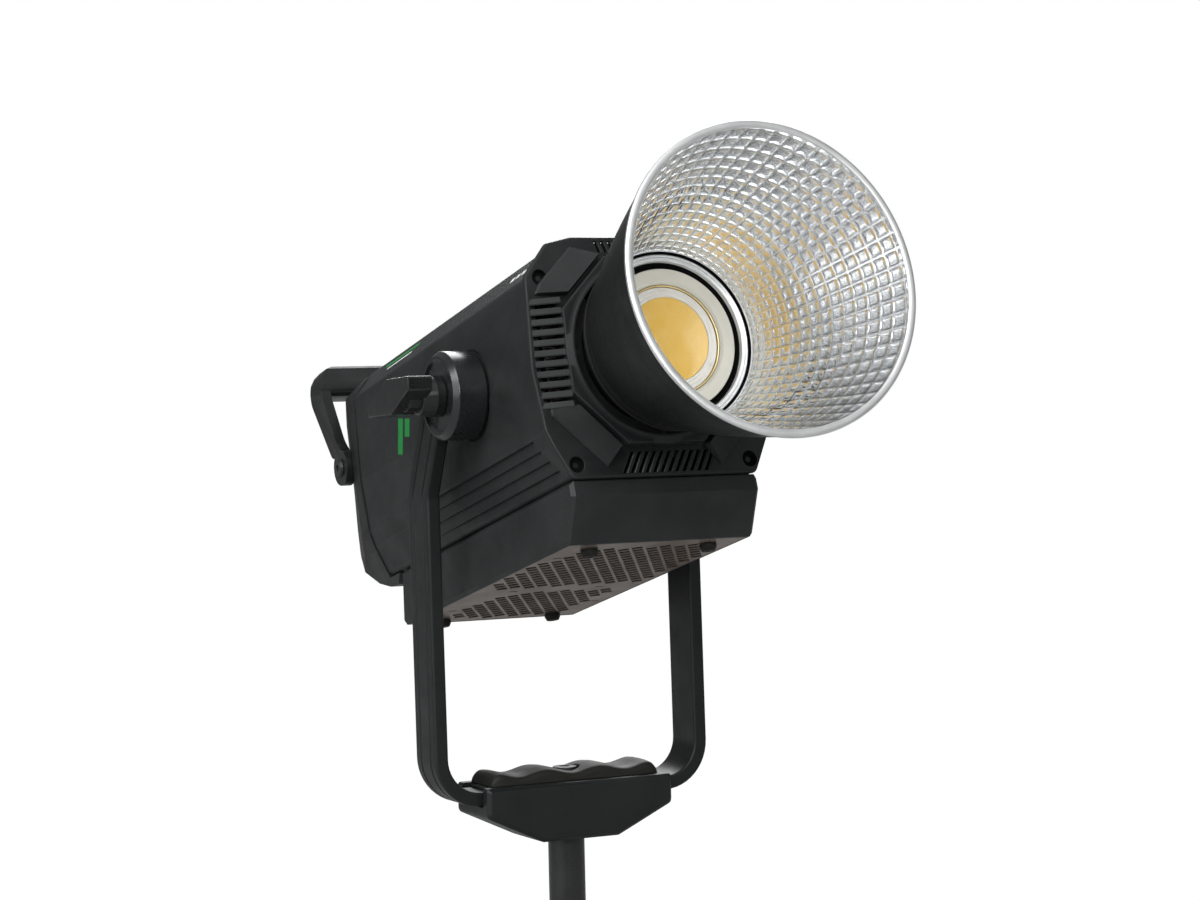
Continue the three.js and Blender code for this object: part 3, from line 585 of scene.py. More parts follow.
BELL_BLACK = grained("bell_black", (0.004, 0.0042, 0.0043), (0.012, 0.0125, 0.013), 0.44, 1500, 0.03, 0.2)
HUB_PAINT = grained("hub_paint", (0.008, 0.009, 0.0095), (0.035, 0.037, 0.037), 0.26, 1500, 0.006, 0.7)
# a near-black with little specular, for painted shade: the walls of the bezel screws' sunk holes, the sheet
# behind the vent slots and the dark stretches of the reflector
PAINTED_SHADE_BLACK = plain("painted_shade_black", (0.003, 0.003, 0.0032), 0.8, specular=0.1)
TAUPE = grained("vent_plate", (0.185, 0.142, 0.112), (0.28, 0.23, 0.20), 0.42, 2000, 0.02, metallic=0.35)
STEEL = metal("steel", (0.56, 0.57, 0.58), 0.3, (12, 1, 1))
RIM_METAL = metal("rim_metal", (0.90, 0.905, 0.90), 0.42, (1, 1, 1), 700.0, 0.012)
ALUMINIUM = metal("aluminium", (0.62, 0.63, 0.64), 0.36, (1, 8, 1))
COPPER = metal("copper", (0.75, 0.42, 0.24), 0.3, (1, 8, 1))
GOLD = metal("gold_trace", (0.80, 0.62, 0.30), 0.35)
CERAMIC = plain("ceramic", (0.68, 0.66, 0.57), 0.38, 0.03, 60.0, 0.006)
SILICONE = plain("silicone_dam", (0.78, 0.76, 0.70), 0.3, 0.05, 120.0, 0.01, 0.3)
BOARD = plain("circuit_board", (0.015, 0.12, 0.045), 0.45, 0.25, 300.0, 0.03)
MOULDED = grained("component_plastic", (0.02, 0.021, 0.022), (0.05, 0.05, 0.05), 0.45, 1500, 0.03)
DISPLAY = plain("display", (0.006, 0.008, 0.010), 0.1, 0.2, 20.0, 0.001, 1.0)
GREEN_INK = plain("green_ink", (0.004, 0.20, 0.035), 0.5, 0.12, 400.0, 0.01)
WHITE_INK = plain("white_ink", (0.72, 0.74, 0.73), 0.5, 0.06, 400.0, 0.01)
PHOSPHOR = phosphor()
MIRROR = mirror()


# ---- studio
# the camera's angles in degrees, its lens, and its place from the tilt axis in millimetres
CAMERA = {
    "azimuth": -26.67, "pitch": 1.237, "roll": -1.293, "lens": 87.97, "place": (-800.6, -1620.4, 3.6),
}


def look_from_photo():
    """The camera at the photograph's place."""
    camera = bpy.data.cameras.new("camera")
    camera.sensor_width = 36
    camera.lens = CAMERA["lens"]
    camera.clip_end = 100
    obj = linked("camera", camera)
    azimuth, pitch, roll = (math.radians(CAMERA[name]) for name in ("azimuth", "pitch", "roll"))
    aim = Matrix.Rotation(azimuth, 4, "Z") @ Matrix.Rotation(math.pi / 2 - pitch, 4, "X")
    place = Matrix.Translation(PIVOT + Vector(CAMERA["place"]) * MM)
    obj.matrix_world = place @ aim @ Matrix.Rotation(roll, 4, "Z")
    bpy.context.scene.camera = obj


def soft_light(name, place, target, size, power):
    light = bpy.data.lights.new(name, "AREA")
    light.shape = "RECTANGLE"
    light.size, light.size_y = size
    light.energy = power
    obj = linked(name, light)
    aim = Vector(target) - Vector(place)
    obj.matrix_world = Matrix.Translation(place) @ aim.to_track_quat("-Z", "Y").to_matrix().to_4x4()
    obj.visible_camera = False


def lobe(tree, direction, inner, outer, strength):
    """A soft-edged bright patch of sky round a direction, between two angles in degrees."""
    coordinates = tree.nodes.new("ShaderNodeTexCoord")
    facing = tree.nodes.new("ShaderNodeVectorMath")
    facing.operation = "DOT_PRODUCT"
    facing.inputs[1].default_value = Vector(direction).normalized()
    tree.links.new(coordinates.outputs["Generated"], facing.inputs[0])
    start, end = math.cos(math.radians(outer)), math.cos(math.radians(inner))
    return ramp(tree, facing.outputs["Value"], 0.0, strength, start, end)


def surroundings():
    """A white background for the camera. Everything else sees a dim room with large soft panels."""
    world = bpy.data.worlds.new("studio")
    bpy.context.scene.world = world
    world.use_nodes = True
    tree = world.node_tree
    tree.nodes.clear()
    total = None
    for direction, inner, outer, strength in PANELS:
        patch = lobe(tree, direction, inner, outer, strength)
        total = math_of(tree, "ADD", total, patch) if total else patch
    room = node(tree, "ShaderNodeBackground", Color=(0.97, 0.985, 1.0, 1))
    tree.links.new(total, room.inputs["Strength"])
    white = node(tree, "ShaderNodeBackground", Color=(1, 1, 1, 1), Strength=1.0)
    seen_apart(tree, room, white, tree.nodes.new("ShaderNodeOutputWorld"), 1.0)


# direction from the object, angles of the full and the fading part in degrees, strength
PANELS = [
    ((0, 0, 1), 0, 120, 0.32),
    ((-0.93, -0.28, 0.25), 20, 40, 2.0),
    ((-0.5, -0.72, 0.48), 10, 24, 1.2),
    ((-0.1, -0.5, 0.86), 12, 30, 0.8),
    ((0.40, 0.62, 0.67), 8, 20, 6.0),
    ((0.45, -0.78, 0.42), 8, 26, 0.35),
]
# name, place, target, size in metres, watts
LIGHTS = [
    ("key", (-1.5, -0.9, 1.9), (0, 0, 0.3), (1.2, 0.9), 24),
    ("front", (-0.5, -2.7, 1.2), (0, 0, 0.35), (0.7, 0.7), 22),
    ("back", (1.0, 1.8, 1.2), (0, 0.1, 0.35), (1.2, 0.6), 14),
]


def studio():
    look_from_photo()
    surroundings()
    for light in LIGHTS:
        soft_light(*light)
    floor = loose(prism(circle(FLOOR["radius"], 96), -FLOOR["thick"], 0.0, plan), "floor")
    floor.data.materials.append(floor_material())
    bpy.context.scene.view_settings.view_transform = "Standard"


# ---- yoke
BAR = {
    "width": 30.3, "thick": 8.7, "corner": 30.0, "bottom": 84.5,
    "bend": (4.5, 277.0), "end": (-26.0, 343.0),
}


def arm_middle(z):
    """Middle of the bar's width at a height: straight up to the bend, then leaning forwards."""
    bend_y, bend_z = BAR["bend"]
    end_y, end_z = BAR["end"]
    if z < bend_z:
        return bend_y * max(0.0, (z - BAR["bottom"]) / (bend_z - BAR["bottom"]))
    return bend_y + (end_y - bend_y) * (z - bend_z) / (end_z - bend_z)


def yoke_bar():
    """The bent bar: a flat section with two fine grooves along its outer face."""
    outer = yoke_box("yoke_bar")[1].x
    half, thick, corner = BAR["width"] / 2, BAR["thick"], BAR["corner"]
    groove = [(8.2, 0), (7.6, 0.9), (6.6, 0.9), (6.0, 0)]
    across = rounded([(half, thick), (half, 0), (-half, 0), (-half, thick)], 1.6, 4)
    grooved = []
    for p in across:
        grooved.append((p.x, p.y))
        if p.y < 1e-6 and p.x > 10:
            grooved += groove + [(-w, d) for w, d in reversed(groove)]
    top = BAR["end"][1] + 4
    stations = [top - i * (top - BAR["bend"][1] - 8) / 5 for i in range(6)]
    stations += [BAR["bend"][1] + d for d in (4, 0, -4, -8, -14)] + [220, 180, 150]
    path = [(outer, z, 0.0) for z in stations]
    centre = (outer - corner, BAR["bottom"] + corner)
    for k in range(13):
        angle = math.pi / 2 * k / 12
        x, z = centre[0] + corner * math.cos(angle), centre[1] - corner * math.sin(angle)
        path.append((x, z, angle))
    rings = []
    for sign, half_path in ((1, path), (-1, path[::-1])):
        for x, z, angle in half_path:
            ring = []
            for w, d in grooved:
                inward = Vector((-math.cos(angle), math.sin(angle))) * d
                ring.append((sign * (x + inward.x), w + arm_middle(z + inward.y), z + inward.y))
            rings.append(ring)
    shaped("yoke_bar", loft(rings), YOKE_PAINT, "yoke", WORLD)


def hubs():
    """Round hubs at the tops of the arms: a bright chamfered rim round a shallow face."""
    for word, sign in (("left", -1), ("right", 1)):
        profile = rounded([
            (5.6, 73.9), (26.2, 73.9), (27, 74.7), (27, 92.6),
            (24, 95.7), (22.2, 95.7), (20.6, 93.9), (5.6, 93.9),
        ], [0, 0, 0.4, 1.4, 0.7, 0.5, 0.4, 0], 4)
        hub = lathe([(r, sign * x) for r, x in profile], 96, about_tilt)
        shaped(f"pivot_hub_{word}", hub, HUB_PAINT, "yoke", TILT, slot="yoke_paint")
    profile = [(0, 94.5), (17, 94.5), (17, 98), (15, 100), (9, 100), (8, 99.3), (0, 99.3)]
    cap = lathe(rounded(profile, 0.7, 3), 72, about_tilt)
    shaped("tilt_hub_cap", cap, GRIP_PLASTIC, "yoke", TILT)


def base_block():
    """The block under the bar, with a slot across its top for the bar."""
    low, high = yoke_box("base_block")
    corners = mirrored([(26, low.z), (high.x, 77.7), (high.x, high.z)])
    body = slab(corners, [3, 4, 2.2, 2.2, 4, 3], low.y, high.y, front, 2.2, 1)
    half_slot = BAR["width"] / 2 + 0.6
    body = boolean(body, block(-70, 70, -half_slot, half_slot, BAR["bottom"] - 0.5, 110))
    shaped("base_block", body, YOKE_PAINT, "yoke", WORLD, bevel=0.5)


WAVE = {"depth": 3.2, "period": 36.5, "crest": -19.0, "end": 9.0, "stations": 112}


def grip_pad():
    """The rubber pad on the base: a wavy top that rounds down at its ends, with a well for the bolt."""
    pad_low, pad_high = yoke_box("grip_pad")
    half = pad_high.x
    rings = []
    for i in range(WAVE["stations"] + 1):
        x = half - 2 * half * i / WAVE["stations"]
        edge = min(1.0, (half - abs(x)) / WAVE["end"])
        swell = math.sqrt(max(0.0, 1 - (1 - edge) ** 2))
        wave = 1 - math.cos(2 * math.pi * (x - WAVE["crest"]) / WAVE["period"])
        rise = pad_high.z - pad_low.z - 0.3 - WAVE["depth"] / 2 * wave
        top = pad_low.z + 0.3 + rise * swell
        width = pad_high.y - 2.5 * (1 - swell)
        ease = min(3.6, (top - pad_low.z) * 0.7)
        profile = [(width, pad_low.z)]
        for k in range(6):
            angle = math.pi / 2 * k / 5
            profile.append((width - ease * (1 - math.cos(angle)), top - 0.7 - ease * (1 - math.sin(angle))))
        profile += [(width * 0.45, top - 0.15), (0, top), (-width * 0.45, top - 0.15)]
        profile += [(-w, z) for w, z in reversed(profile[:7])]
        rings.append([(x, w, z) for w, z in profile])
    pad = loft(rings)
    well = [(0, 90), (8.5, 90), (8.5, pad_high.z - 4.5), (10.6, pad_high.z + 1), (0, pad_high.z + 1)]
    pad = boolean(pad, lathe(well, 48, about_post))
    shaped("grip_pad", pad, RUBBER, "yoke", WORLD)


def base_bolt():
    """The socket-head bolt in the pad's well."""
    head_low = yoke_box("grip_pad")[0].z + 0.1
    head_high = head_low + 6.8
    profile = [(0, 60), (3.4, 60), (3.4, head_low), (7.6, head_low), (7.6, head_high), (0, head_high)]
    bolt = lathe(rounded(profile, [0, 0.5, 0, 0.4, 0.9, 0], 3), 48, about_post)
    bolt = boolean(bolt, prism(circle(3.7, 6), head_low + 3, head_low + 9, plan))
    shaped("base_bolt", bolt, BLACK_STEEL, "yoke", WORLD)


def mounting_post():
    """The post under the base, with a groove near its foot."""
    corner = yoke_box("mounting_post")[1]
    r, top = corner.x, corner.z
    spigot = lathe(rounded([
        (0, 0), (r - 1.2, 0), (r, 1.2), (r, 8.6), (r - 0.5, 9.2), (r - 0.5, 10.4), (r, 11),
        (r, top - 1.2), (r - 1.2, top), (0, top),
    ], 0.4, 2), 96, about_post)
    shaped("mounting_post", spigot, BLACK_STEEL, "yoke", WORLD)


def lock_lever():
    """The tilt lock's winged lever on its collar, with a ribbed thumb block at the front."""
    outline = [(-19.2, 12.5), (-19.5, 3.8), (8, -10.5), (43, -12.5), (46, -6), (15, 10.8)]
    wing = slab(outline, [1.4, 1.6, 3, 3, 3, 5], -123, -106.5, upright, 1.0, 2)
    ribs = [block(-120.6, -109, -21.5, -19.0, 5.4 + i * 2.2, 6.2 + i * 2.2) for i in range(3)]
    wing = boolean(wing, joined(*ribs))
    profile = [(0, -94.7), (12.5, -94.7), (12.5, -100), (11, -109), (0, -109)]
    collar = lathe(rounded(profile, [0, 0.4, 1.2, 1.5, 0], 3), 72, about_tilt)
    neck = lathe(rounded([(0, -100), (9, -100), (9, -117), (0, -117)], 0.8, 3), 48, about_tilt)
    lever = joined(wing, collar, neck)
    shaped("tilt_lock_lever", lever, GRIP_PLASTIC, "lock_lever", TILT)


# ---- lamp head: casings
HOUSING_HALF = [(60.5, -75.1), (69, -54), (71.5, -45), (73.7, -10), (72, 46), (57, 63.5), (41, 67.6)]
BEZEL_HALF = [(60.5, -75.1), (71, -54), (74.4, -45.6), (78, -10), (74.8, 46.4), (58.5, 66.4), (41.7, 70.3)]
SHELL_HOLLOW = 0.955
SIDE_GROOVES = [(-46.6, 72, -120), (-53.6, 76.5, -110), (-60.6, 81, -100), (-67.4, 86, -90)]
PLATE_FACE, OCTAGON_FACE, RING_FACE = 97.0, 105.0, 101.0


def on_outline(half, v):
    """Half width of a symmetric section at a height."""
    for (x0, v0), (x1, v1) in zip(half, half[1:]):
        if v0 <= v <= v1:
            return x0 + (x1 - x0) * (v - v0) / (v1 - v0)
    return half[-1][0]


def side_step(v, front_u, rear_u, sign, drop=5.6, depth=1.7):
    """A cutter for one stepped groove: sharp along its top, running out downwards and to the rear."""
    x, x_low = on_outline(HOUSING_HALF, v), on_outline(HOUSING_HALF, v - drop)
    stations = []
    for u, out in (
        (rear_u, 1.3), (rear_u + 45, 0.25), (front_u - 4, 0), (front_u, 0.15), (front_u + 0.4, 1.4),
    ):
        ring = [
            (x + 3, v + 1.2), (x + 0.2 + out, v + 0.25), (x - depth + out, v - 0.2),
            (x_low + 0.15 + out, v - drop), (x_low + 4, v - drop),
        ]
        stations.append((u, [(sign * a, b) for a, b in ring]))
    return stacked(stations, section)


def on_both_hubs(profile, segments):
    """A turned shape on the tilt axis, on the right and on the left."""
    return joined(*[lathe([(r, sign * x) for r, x in profile], segments, about_tilt) for sign in (-1, 1)])


def main_housing():
    """The long shell: grooves low on its sides, seats for the hubs, a thumb slot for the slider."""
    low, high = lamp_box("main_housing")
    outside = rounded(mirrored(HOUSING_HALF), 7, 5)
    hollow = [p * SHELL_HOLLOW for p in outside]
    front_u, rear_u = -low.y, -high.y
    shell = stacked([
        (rear_u, inset(outside, 0.3)), (rear_u + 0.6, outside), (front_u - 0.8, outside),
        (front_u, inset(outside, 0.5)), (front_u, hollow), (rear_u, hollow),
    ], section, loop=True)
    seats = on_both_hubs([(0, 71.6), (26.5, 71.6), (28, 72.6), (28, 90), (0, 90)], 72)
    shell = boolean(shell, seats)
    for v, front_u, rear_u in SIDE_GROOVES:
        shell = boolean(shell, joined(*[side_step(v, front_u, rear_u, sign) for sign in (-1, 1)]))
    shell = boolean(shell, block(68, 80, -79, -66, -3.1, 3.1))
    shaped("main_housing", shell, PAINT)
    discs = on_both_hubs(bore(26.2, 68.4, 71.7), 64)
    piece("pivot_seat_plates", discs, PAINT)


def accents():
    """Plain coloured bars on the casing's left side and shoulder, as thin layers of ink."""
    lifted = 0.12
    sides = (lifted, -0.4)

    def on_side(outline):
        return loft([[(-on_outline(HOUSING_HALF, v) - out, -u, v) for u, v in outline] for out in sides])

    down, across = Vector((-0.248, -0.969)), Vector((0.969, -0.248))
    bars = []
    for offset, length in ((0.0, 23.0), (11.0, 11.5)):
        corner = Vector((-114.6, 14.6)) + across * offset
        beside = corner + across * 7.6
        bars.append(on_side([corner, beside, beside + down * length, corner + down * length]))
    piece("side_accent", joined(*bars), GREEN_INK, slot="casing_paint")

    foot, top = (Vector((-x, v)) for x, v in HOUSING_HALF[4:6])

    def on_shoulder(u0, u1, share0, share1):
        a, b = foot.lerp(top, share0), foot.lerp(top, share1)
        out = Vector((foot.y - top.y, top.x - foot.x)).normalized() * lifted
        return prism([a + out, b + out, b - out * 3, a - out * 3], u0, u1, section)

    for name, mark, ink in (
        ("shoulder_accent", on_shoulder(-150, -92, 0.62, 0.74), GREEN_INK),
        ("shoulder_line", on_shoulder(-142, -100, 0.46, 0.52), WHITE_INK),
        ("shoulder_dashes", joined(*[on_shoulder(u, u + 5, 0.42, 0.56) for u in (58, 66, 74)]), WHITE_INK),
    ):
        piece(name, mark, ink, slot="casing_paint")


CORNER_PLATES = (
    [(25.2, 58.8), (43.5, 64.4), (66.6, 41.6), (71.0, 34.4), (50.0, 34.4)],
    [(27.5, -57), (37.5, -69.2), (69.4, -38), (70.2, -33.6), (52.5, -31.5)],
)
OCTAGON = mirrored([(25, -56.5), (56.5, -25), (56.5, 25), (25, 56.5)])
MOUTH, LINER = 52.2, 55.0
SIDE_WINDOW = [(57.5, -31), (72.4, -31), (75.4, -10), (73.8, 32), (57.5, 32)]
END_WINDOWS = (
    [(-30, -72.6), (29, -72.6), (36, -60), (-23, -60)],
    [(-26, 60.6), (26, 60.6), (23, 67.6), (-29, 67.6)],
)
SIDE_SLATS = {"count": 11, "top": 30.6, "pitch": 6.2, "inner": 56.4, "outer": 75.0}
# lower and upper end of the upright slats, how far they lean, and where the first and last stand
END_SLATS = ((-73, -59, 7.4, -25.5, 33), (60.2, 68, -2.6, -27, 27))
END_SLAT_COUNT = 13


def screw_place(number):
    """Where a bezel screw stands, across and up."""
    low, high = lamp_box(f"bezel_screw_{number}")
    return (low.x + high.x) / 2, (low.z + high.z) / 2


def bezel_plate(back_u):
    """The flat base plate with its four windows, its round hole and the screws' sunk holes."""
    outline = rounded(mirrored(BEZEL_HALF), 5, 5)
    plate = stacked([
        (back_u, inset(outline, 0.2)), (back_u + 0.5, outline), (PLATE_FACE - 1.6, outline),
        (PLATE_FACE - 0.5, inset(outline, 0.5)), (PLATE_FACE, inset(outline, 1.6)),
    ], section)
    windows = [rounded([(sx * x, v) for x, v in SIDE_WINDOW], 1, 2) for sx in (-1, 1)]
    cutters = [prism(w, back_u - 2, PLATE_FACE + 2, section) for w in [*windows, *END_WINDOWS]]
    plate = boolean(plate, joined(*cutters))
    plate = boolean(plate, lathe(bore(LINER, back_u - 2, PLATE_FACE + 2), 96, about_beam))
    holes = []
    for number in range(1, 5):
        x, v = screw_place(number)
        hole = lathe([
            (0, back_u + 0.4), (4.7, back_u + 0.4), (4.7, PLATE_FACE - 0.4), (5.2, PLATE_FACE + 0.2),
            (5.2, 101), (0, 101),
        ], 40, about_beam)
        holes.append(moved(hole, x, 0, v))
    return boolean(plate, joined(*holes))


def bezel_octagon(back_u):
    """The raised octagon with a round collar, open in the middle for the light engine."""
    solid = stacked([
        (back_u + 0.5, OCTAGON), (OCTAGON_FACE - 2.6, OCTAGON),
        (OCTAGON_FACE - 1.9, inset(OCTAGON, 0.3)), (OCTAGON_FACE - 1.5, inset(OCTAGON, 1.0)),
    ], section)
    profile = [
        (0, PLATE_FACE), (57.2, PLATE_FACE), (57.2, OCTAGON_FACE - 1.9), (53.2, OCTAGON_FACE),
        (0, OCTAGON_FACE),
    ]
    collar = lathe(rounded(profile, [0, 0, 0.3, 0.6, 0], 3), 128, about_beam)
    opening = lathe(bore(MOUTH, back_u - 2, OCTAGON_FACE + 1), 128, about_beam)
    return boolean(boolean(solid, collar, "UNION"), opening)


def raised_corner(x, v, height):
    """A point on a corner plate: it stands proud next to the octagon and sinks towards the corner."""
    lift = 6.0 - max(0.0, abs(x) + abs(v) - 84) * 0.19
    return section(x, v, PLATE_FACE + (lift * height if height > 0 else height))


def corner_plate(sx, points):
    outline = rounded([(sx * x, v) for x, v in points], 1.2, 2)
    levels = ((-1, 0), (0.55, 0.2), (1.0, 1.1))
    return loft([[raised_corner(*p, height) for p in inset(outline, s)] for height, s in levels])


def slats():
    """The louvres: sloping ones in the side windows, upright ones above and below."""
    made = []
    for sx in (-1, 1):
        for i in range(SIDE_SLATS["count"]):
            v = SIDE_SLATS["top"] - i * SIDE_SLATS["pitch"]
            face = [(v - 2.2, 0.5), (v - 1.5, 0.2), (v + 1.7, 0.8), (v + 1.9, 3.0), (v - 2.0, 3.0)]
            ends = ((SIDE_SLATS["inner"], OCTAGON_FACE - 2.2), (SIDE_SLATS["outer"], PLATE_FACE))
            made.append(loft([[(sx * x, depth - u, a) for a, depth in face] for x, u in ends]))
    for v0, v1, lean, first, last in END_SLATS:
        for i in range(END_SLAT_COUNT):
            x = first + (last - first) * i / (END_SLAT_COUNT - 1)
            a, b = x - lean / 2, x + lean / 2
            slat = [(a - 1.4, v0), (a + 1.4, v0), (b + 1.4, v1), (b - 1.4, v1)]
            made.append(slab(slat, 0.4, PLATE_FACE - 3.4, PLATE_FACE - 0.3, section, 0.5, 1))
    return made


def bezel():
    """The front frame in one piece, and its four socket screws."""
    back_u = -lamp_box("front_bezel")[1].y
    plates = [corner_plate(sx, points) for sx in (-1, 1) for points in CORNER_PLATES]
    frame_solid = joined(bezel_plate(back_u), bezel_octagon(back_u), *plates, *slats())
    shaped("front_bezel", frame_solid, BEZEL_PLASTIC)
    for number in range(1, 5):
        x, v = screw_place(number)
        # the screws are black, and each one's cup lines its sunk hole with painted shade
        profile = [(0, 94), (4.64, 94), (4.64, 96.8), (4.3, 96.8), (4.2, 94.6), (0, 94.6)]
        screw = boolean(lathe(profile, 36, about_beam), prism(circle(1.9, 6), 94.2, 98, section))
        shaped(f"bezel_screw_{number}", moved(screw, x, 0, v), PAINTED_SHADE_BLACK, slot="black_steel")


def power_box():
    """The lower box with its chamfered corners, open underneath where the vented plate sits."""
    low, high = lamp_box("power_box")
    corners = [(94.6, -75.4), (95.5, -84.8), (79.7, -110.1), (-173.8, -110.1), (-166, -75.4)]
    body = slab(corners, [1, 1.5, 1.5, 3, 1], low.x, high.x, side, 2.3, 1)
    room = prism([(76.9, -112), (-169.6, -112), (-166, -79), (85, -79)], -59.3, 59.3, side)
    body = boolean(body, room)
    shaped("power_box", body, PAINT)
    # a black sheet just inside the vent plate: painted shade for the inside of the box seen through the slots
    shade_sheet = block(-58.6, 58.6, -76, 168, -107.2, -106.4)
    piece("power_box_painted_shade", shade_sheet, PAINTED_SHADE_BLACK, slot="casing_paint")


CORNERS = ((-1, -1), (1, -1), (1, 1), (-1, 1))
# pitch of the slots across and along their columns, the web between them, the columns' slant
VENT = {"over": 8.15, "down": 8.9, "web": 1.6, "slant": -60, "thick": 0.7, "reach": 6.0}
VENT_FIELDS = [
    (0.0, [(-54, -57), (54, -57), (54, 30), (38, 60), (-33, 60), (-54, 22)]),
    (3.2, [(-38, -159), (45, -159), (45, -76), (-25, -76), (-38, -100)]),
]
VENT_SLITS = [(-48, 38), (-30, -67), (30, -67), (-46, -128), (52, -120)]


def vent_plate():
    """The sheet under the box: two fields of short slots in slanting columns."""
    low, high = lamp_box("bottom_vent_plate")
    slant = math.radians(VENT["slant"])
    down = Vector((math.cos(slant), math.sin(slant)))
    over = Vector((-down.y, down.x))
    half_over = over * (VENT["over"] - VENT["web"]) / 2
    half_down = down * (VENT["down"] - VENT["web"]) / 2
    holes = []
    for phase, field in VENT_FIELDS:
        for i in range(-14, 15):
            for j in range(-22, 23):
                middle = over * (i * VENT["over"] + phase) + down * (j * VENT["down"])
                if inside(middle, field):
                    corners = [middle + half_over * a + half_down * b for a, b in CORNERS]
                    holes.append(rounded([(p.x, -p.y) for p in corners], 0.8, 2))
    for x, u in VENT_SLITS:
        holes.append(rounded(box_outline(x - 3, x + 3, -u - 1.1, -u + 1.1), 1.0, 2))
    outline = rounded(box_outline(low.x, high.x, low.y, high.y), 1.5, 3)
    sheet = perforated(outline, holes, low.z, low.z + VENT["thick"])
    shaped("bottom_vent_plate", sheet, TAUPE)


def feet():
    """The four rubber feet, each with the mouth of its screw hole."""
    for number in range(1, 5):
        low, high = lamp_box(f"rubber_foot_{number}")
        r, sole, top = (high.x - low.x) / 2, low.z, high.z
        profile = [(0, sole), (r - 1.2, sole), (r, top - 2), (r, top), (0, top)]
        foot = lathe(rounded(profile, [0, 0.9, 0.6, 0, 0], 3), 40, about_post)
        foot = boolean(foot, lathe(bore(1.6, sole - 1, sole + 1.6), 20, about_post))
        moved(foot, (low.x + high.x) / 2, (low.y + high.y) / 2)
        shaped(f"rubber_foot_{number}", foot, RUBBER)


# CAD node, look, width of its eased edges, their segments, body
REAR_NODES = [
    ("rear_cover", COVER_PLASTIC, 1.2, 3, "head"),
    ("carry_handle", GRIP_PLASTIC, 1.6, 4, "head"),
    ("control_panel", GRIP_PLASTIC, 0.3, 2, "head"),
    ("display_window", DISPLAY, 0.3, 2, "head"),
    ("mains_inlet", MOULDED, 0.4, 2, "head"),
    ("rocker_frame", MOULDED, 0.4, 2, "head"),
    ("power_rocker", GRIP_PLASTIC, 0.5, 2, "rocker"),
    ("dimmer_knob", GRIP_PLASTIC, 0.4, 2, "dimmer"),
    ("release_slider", GRIP_PLASTIC, 0.4, 2, "release"),
    *[(f"panel_button_{number}", RUBBER, 0.4, 2, f"button_{number}") for number in range(1, 4)],
    *[(f"handle_screw_{word}", BLACK_STEEL, 0.25, 2, "head") for word in ("left", "right")],
]


def rear():
    """The rear cover with its controls and sockets, the carry handle and the release slider."""
    for row in REAR_NODES:
        refined(*row)


DIAL = {"ticks": 11, "first": -135, "step": 27}
# how high each bar of the display stands, and how long it is, as shares of the window
DISPLAY_BARS = ((0.72, 0.7), (0.5, 0.45), (0.28, 0.58))


def panel_marks():
    """Plain ticks round the dimmer knob and level bars on the display, as thin layers of ink."""
    joint = JOINTS["dimmer_turn"]
    centre, axis = Vector(joint["pos_m"]), Vector(joint["axis"]).normalized()
    knob_low, knob_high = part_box("dimmer_knob")
    panel_low, panel_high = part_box("control_panel")
    if (knob_low + knob_high - panel_low - panel_high).dot(axis) < 0:
        axis = -axis
    place = Matrix.Translation(centre) @ axis.to_track_quat("Z", "Y").to_matrix().to_4x4()
    reach = box_in(place, "dimmer_knob")[1].x
    level = box_in(place, "control_panel")[1].z
    ticks = []
    for i in range(DIAL["ticks"]):
        tick = block(-0.3, 0.3, reach + 1.0, reach + 2.6, level - 0.3, level + 0.08)
        ticks.append(moved(tick, turn=DIAL["first"] + DIAL["step"] * i))
    piece("dial_ticks", joined(*ticks), WHITE_INK, "head", place, slot="grip_plastic")
    low, high = box_in(place, "display_window")
    wide, tall = high.x - low.x, high.y - low.y
    bars = []
    for share, length in DISPLAY_BARS:
        x, y, half = low.x + wide * 0.12, low.y + tall * share, tall * 0.05
        bars.append(block(x, x + wide * length, y - half, y + half, high.z - 0.3, high.z + 0.06))
    piece("display_bars", joined(*bars), WHITE_INK, "head", place, slot="display")


# ---- lamp head: light engine
NOTCH_ANGLES = (42, 149, 256)
LOCK_TURN = 22


def mount_ring():
    """The bayonet ring round the light engine, with three notches in its face."""
    profile = rounded([
        (50.4, 86), (56, 86), (56, 93.7), (51.6, 93.7), (51.6, RING_FACE), (45.6, RING_FACE),
        (45.6, 98.6), (50.4, 98.6),
    ], [0, 0, 0, 0, 0.5, 0.5, 0.3, 0], 3)
    ring = lathe(profile, 144, about_beam)
    cutters = []
    for angle in NOTCH_ANGLES:
        outline = rounded(box_outline(40, 50.9, -5.2, 5.2), 0.8, 3)
        slot = prism(outline, RING_FACE - 4, RING_FACE + 1, section)
        cutters.append(moved(slot, turn=angle - 180, axis="Y"))
    ring = boolean(ring, joined(*cutters))
    shaped("mount_ring", ring, RING_METAL)


BELL = {"step": 124.0, "step_radius": 51.5, "rim": 249.8, "mouth": 88.1, "wall": 1.4}
FACETS = {"around": 60, "rings": 15, "first": 127.0, "last": 243.4, "growth": 1.3, "scoop": (0.034, 0.030)}
STEPS = (-1.0, -0.86, -0.72, -0.42, 0.0, 0.42, 0.72, 0.86)
# SHADE stretches are painted dark for shade and dark reflections: the thin line inside the rolled rim, the
# crescent at the throat and the gap round the light engine
SHINY, BLACK, SILVER, SHADE = range(4)


def bell_radius(u):
    share = (u - BELL["step"]) / (BELL["rim"] - BELL["step"])
    return math.sqrt(BELL["step_radius"] ** 2 + (BELL["mouth"] ** 2 - BELL["step_radius"] ** 2) * share)


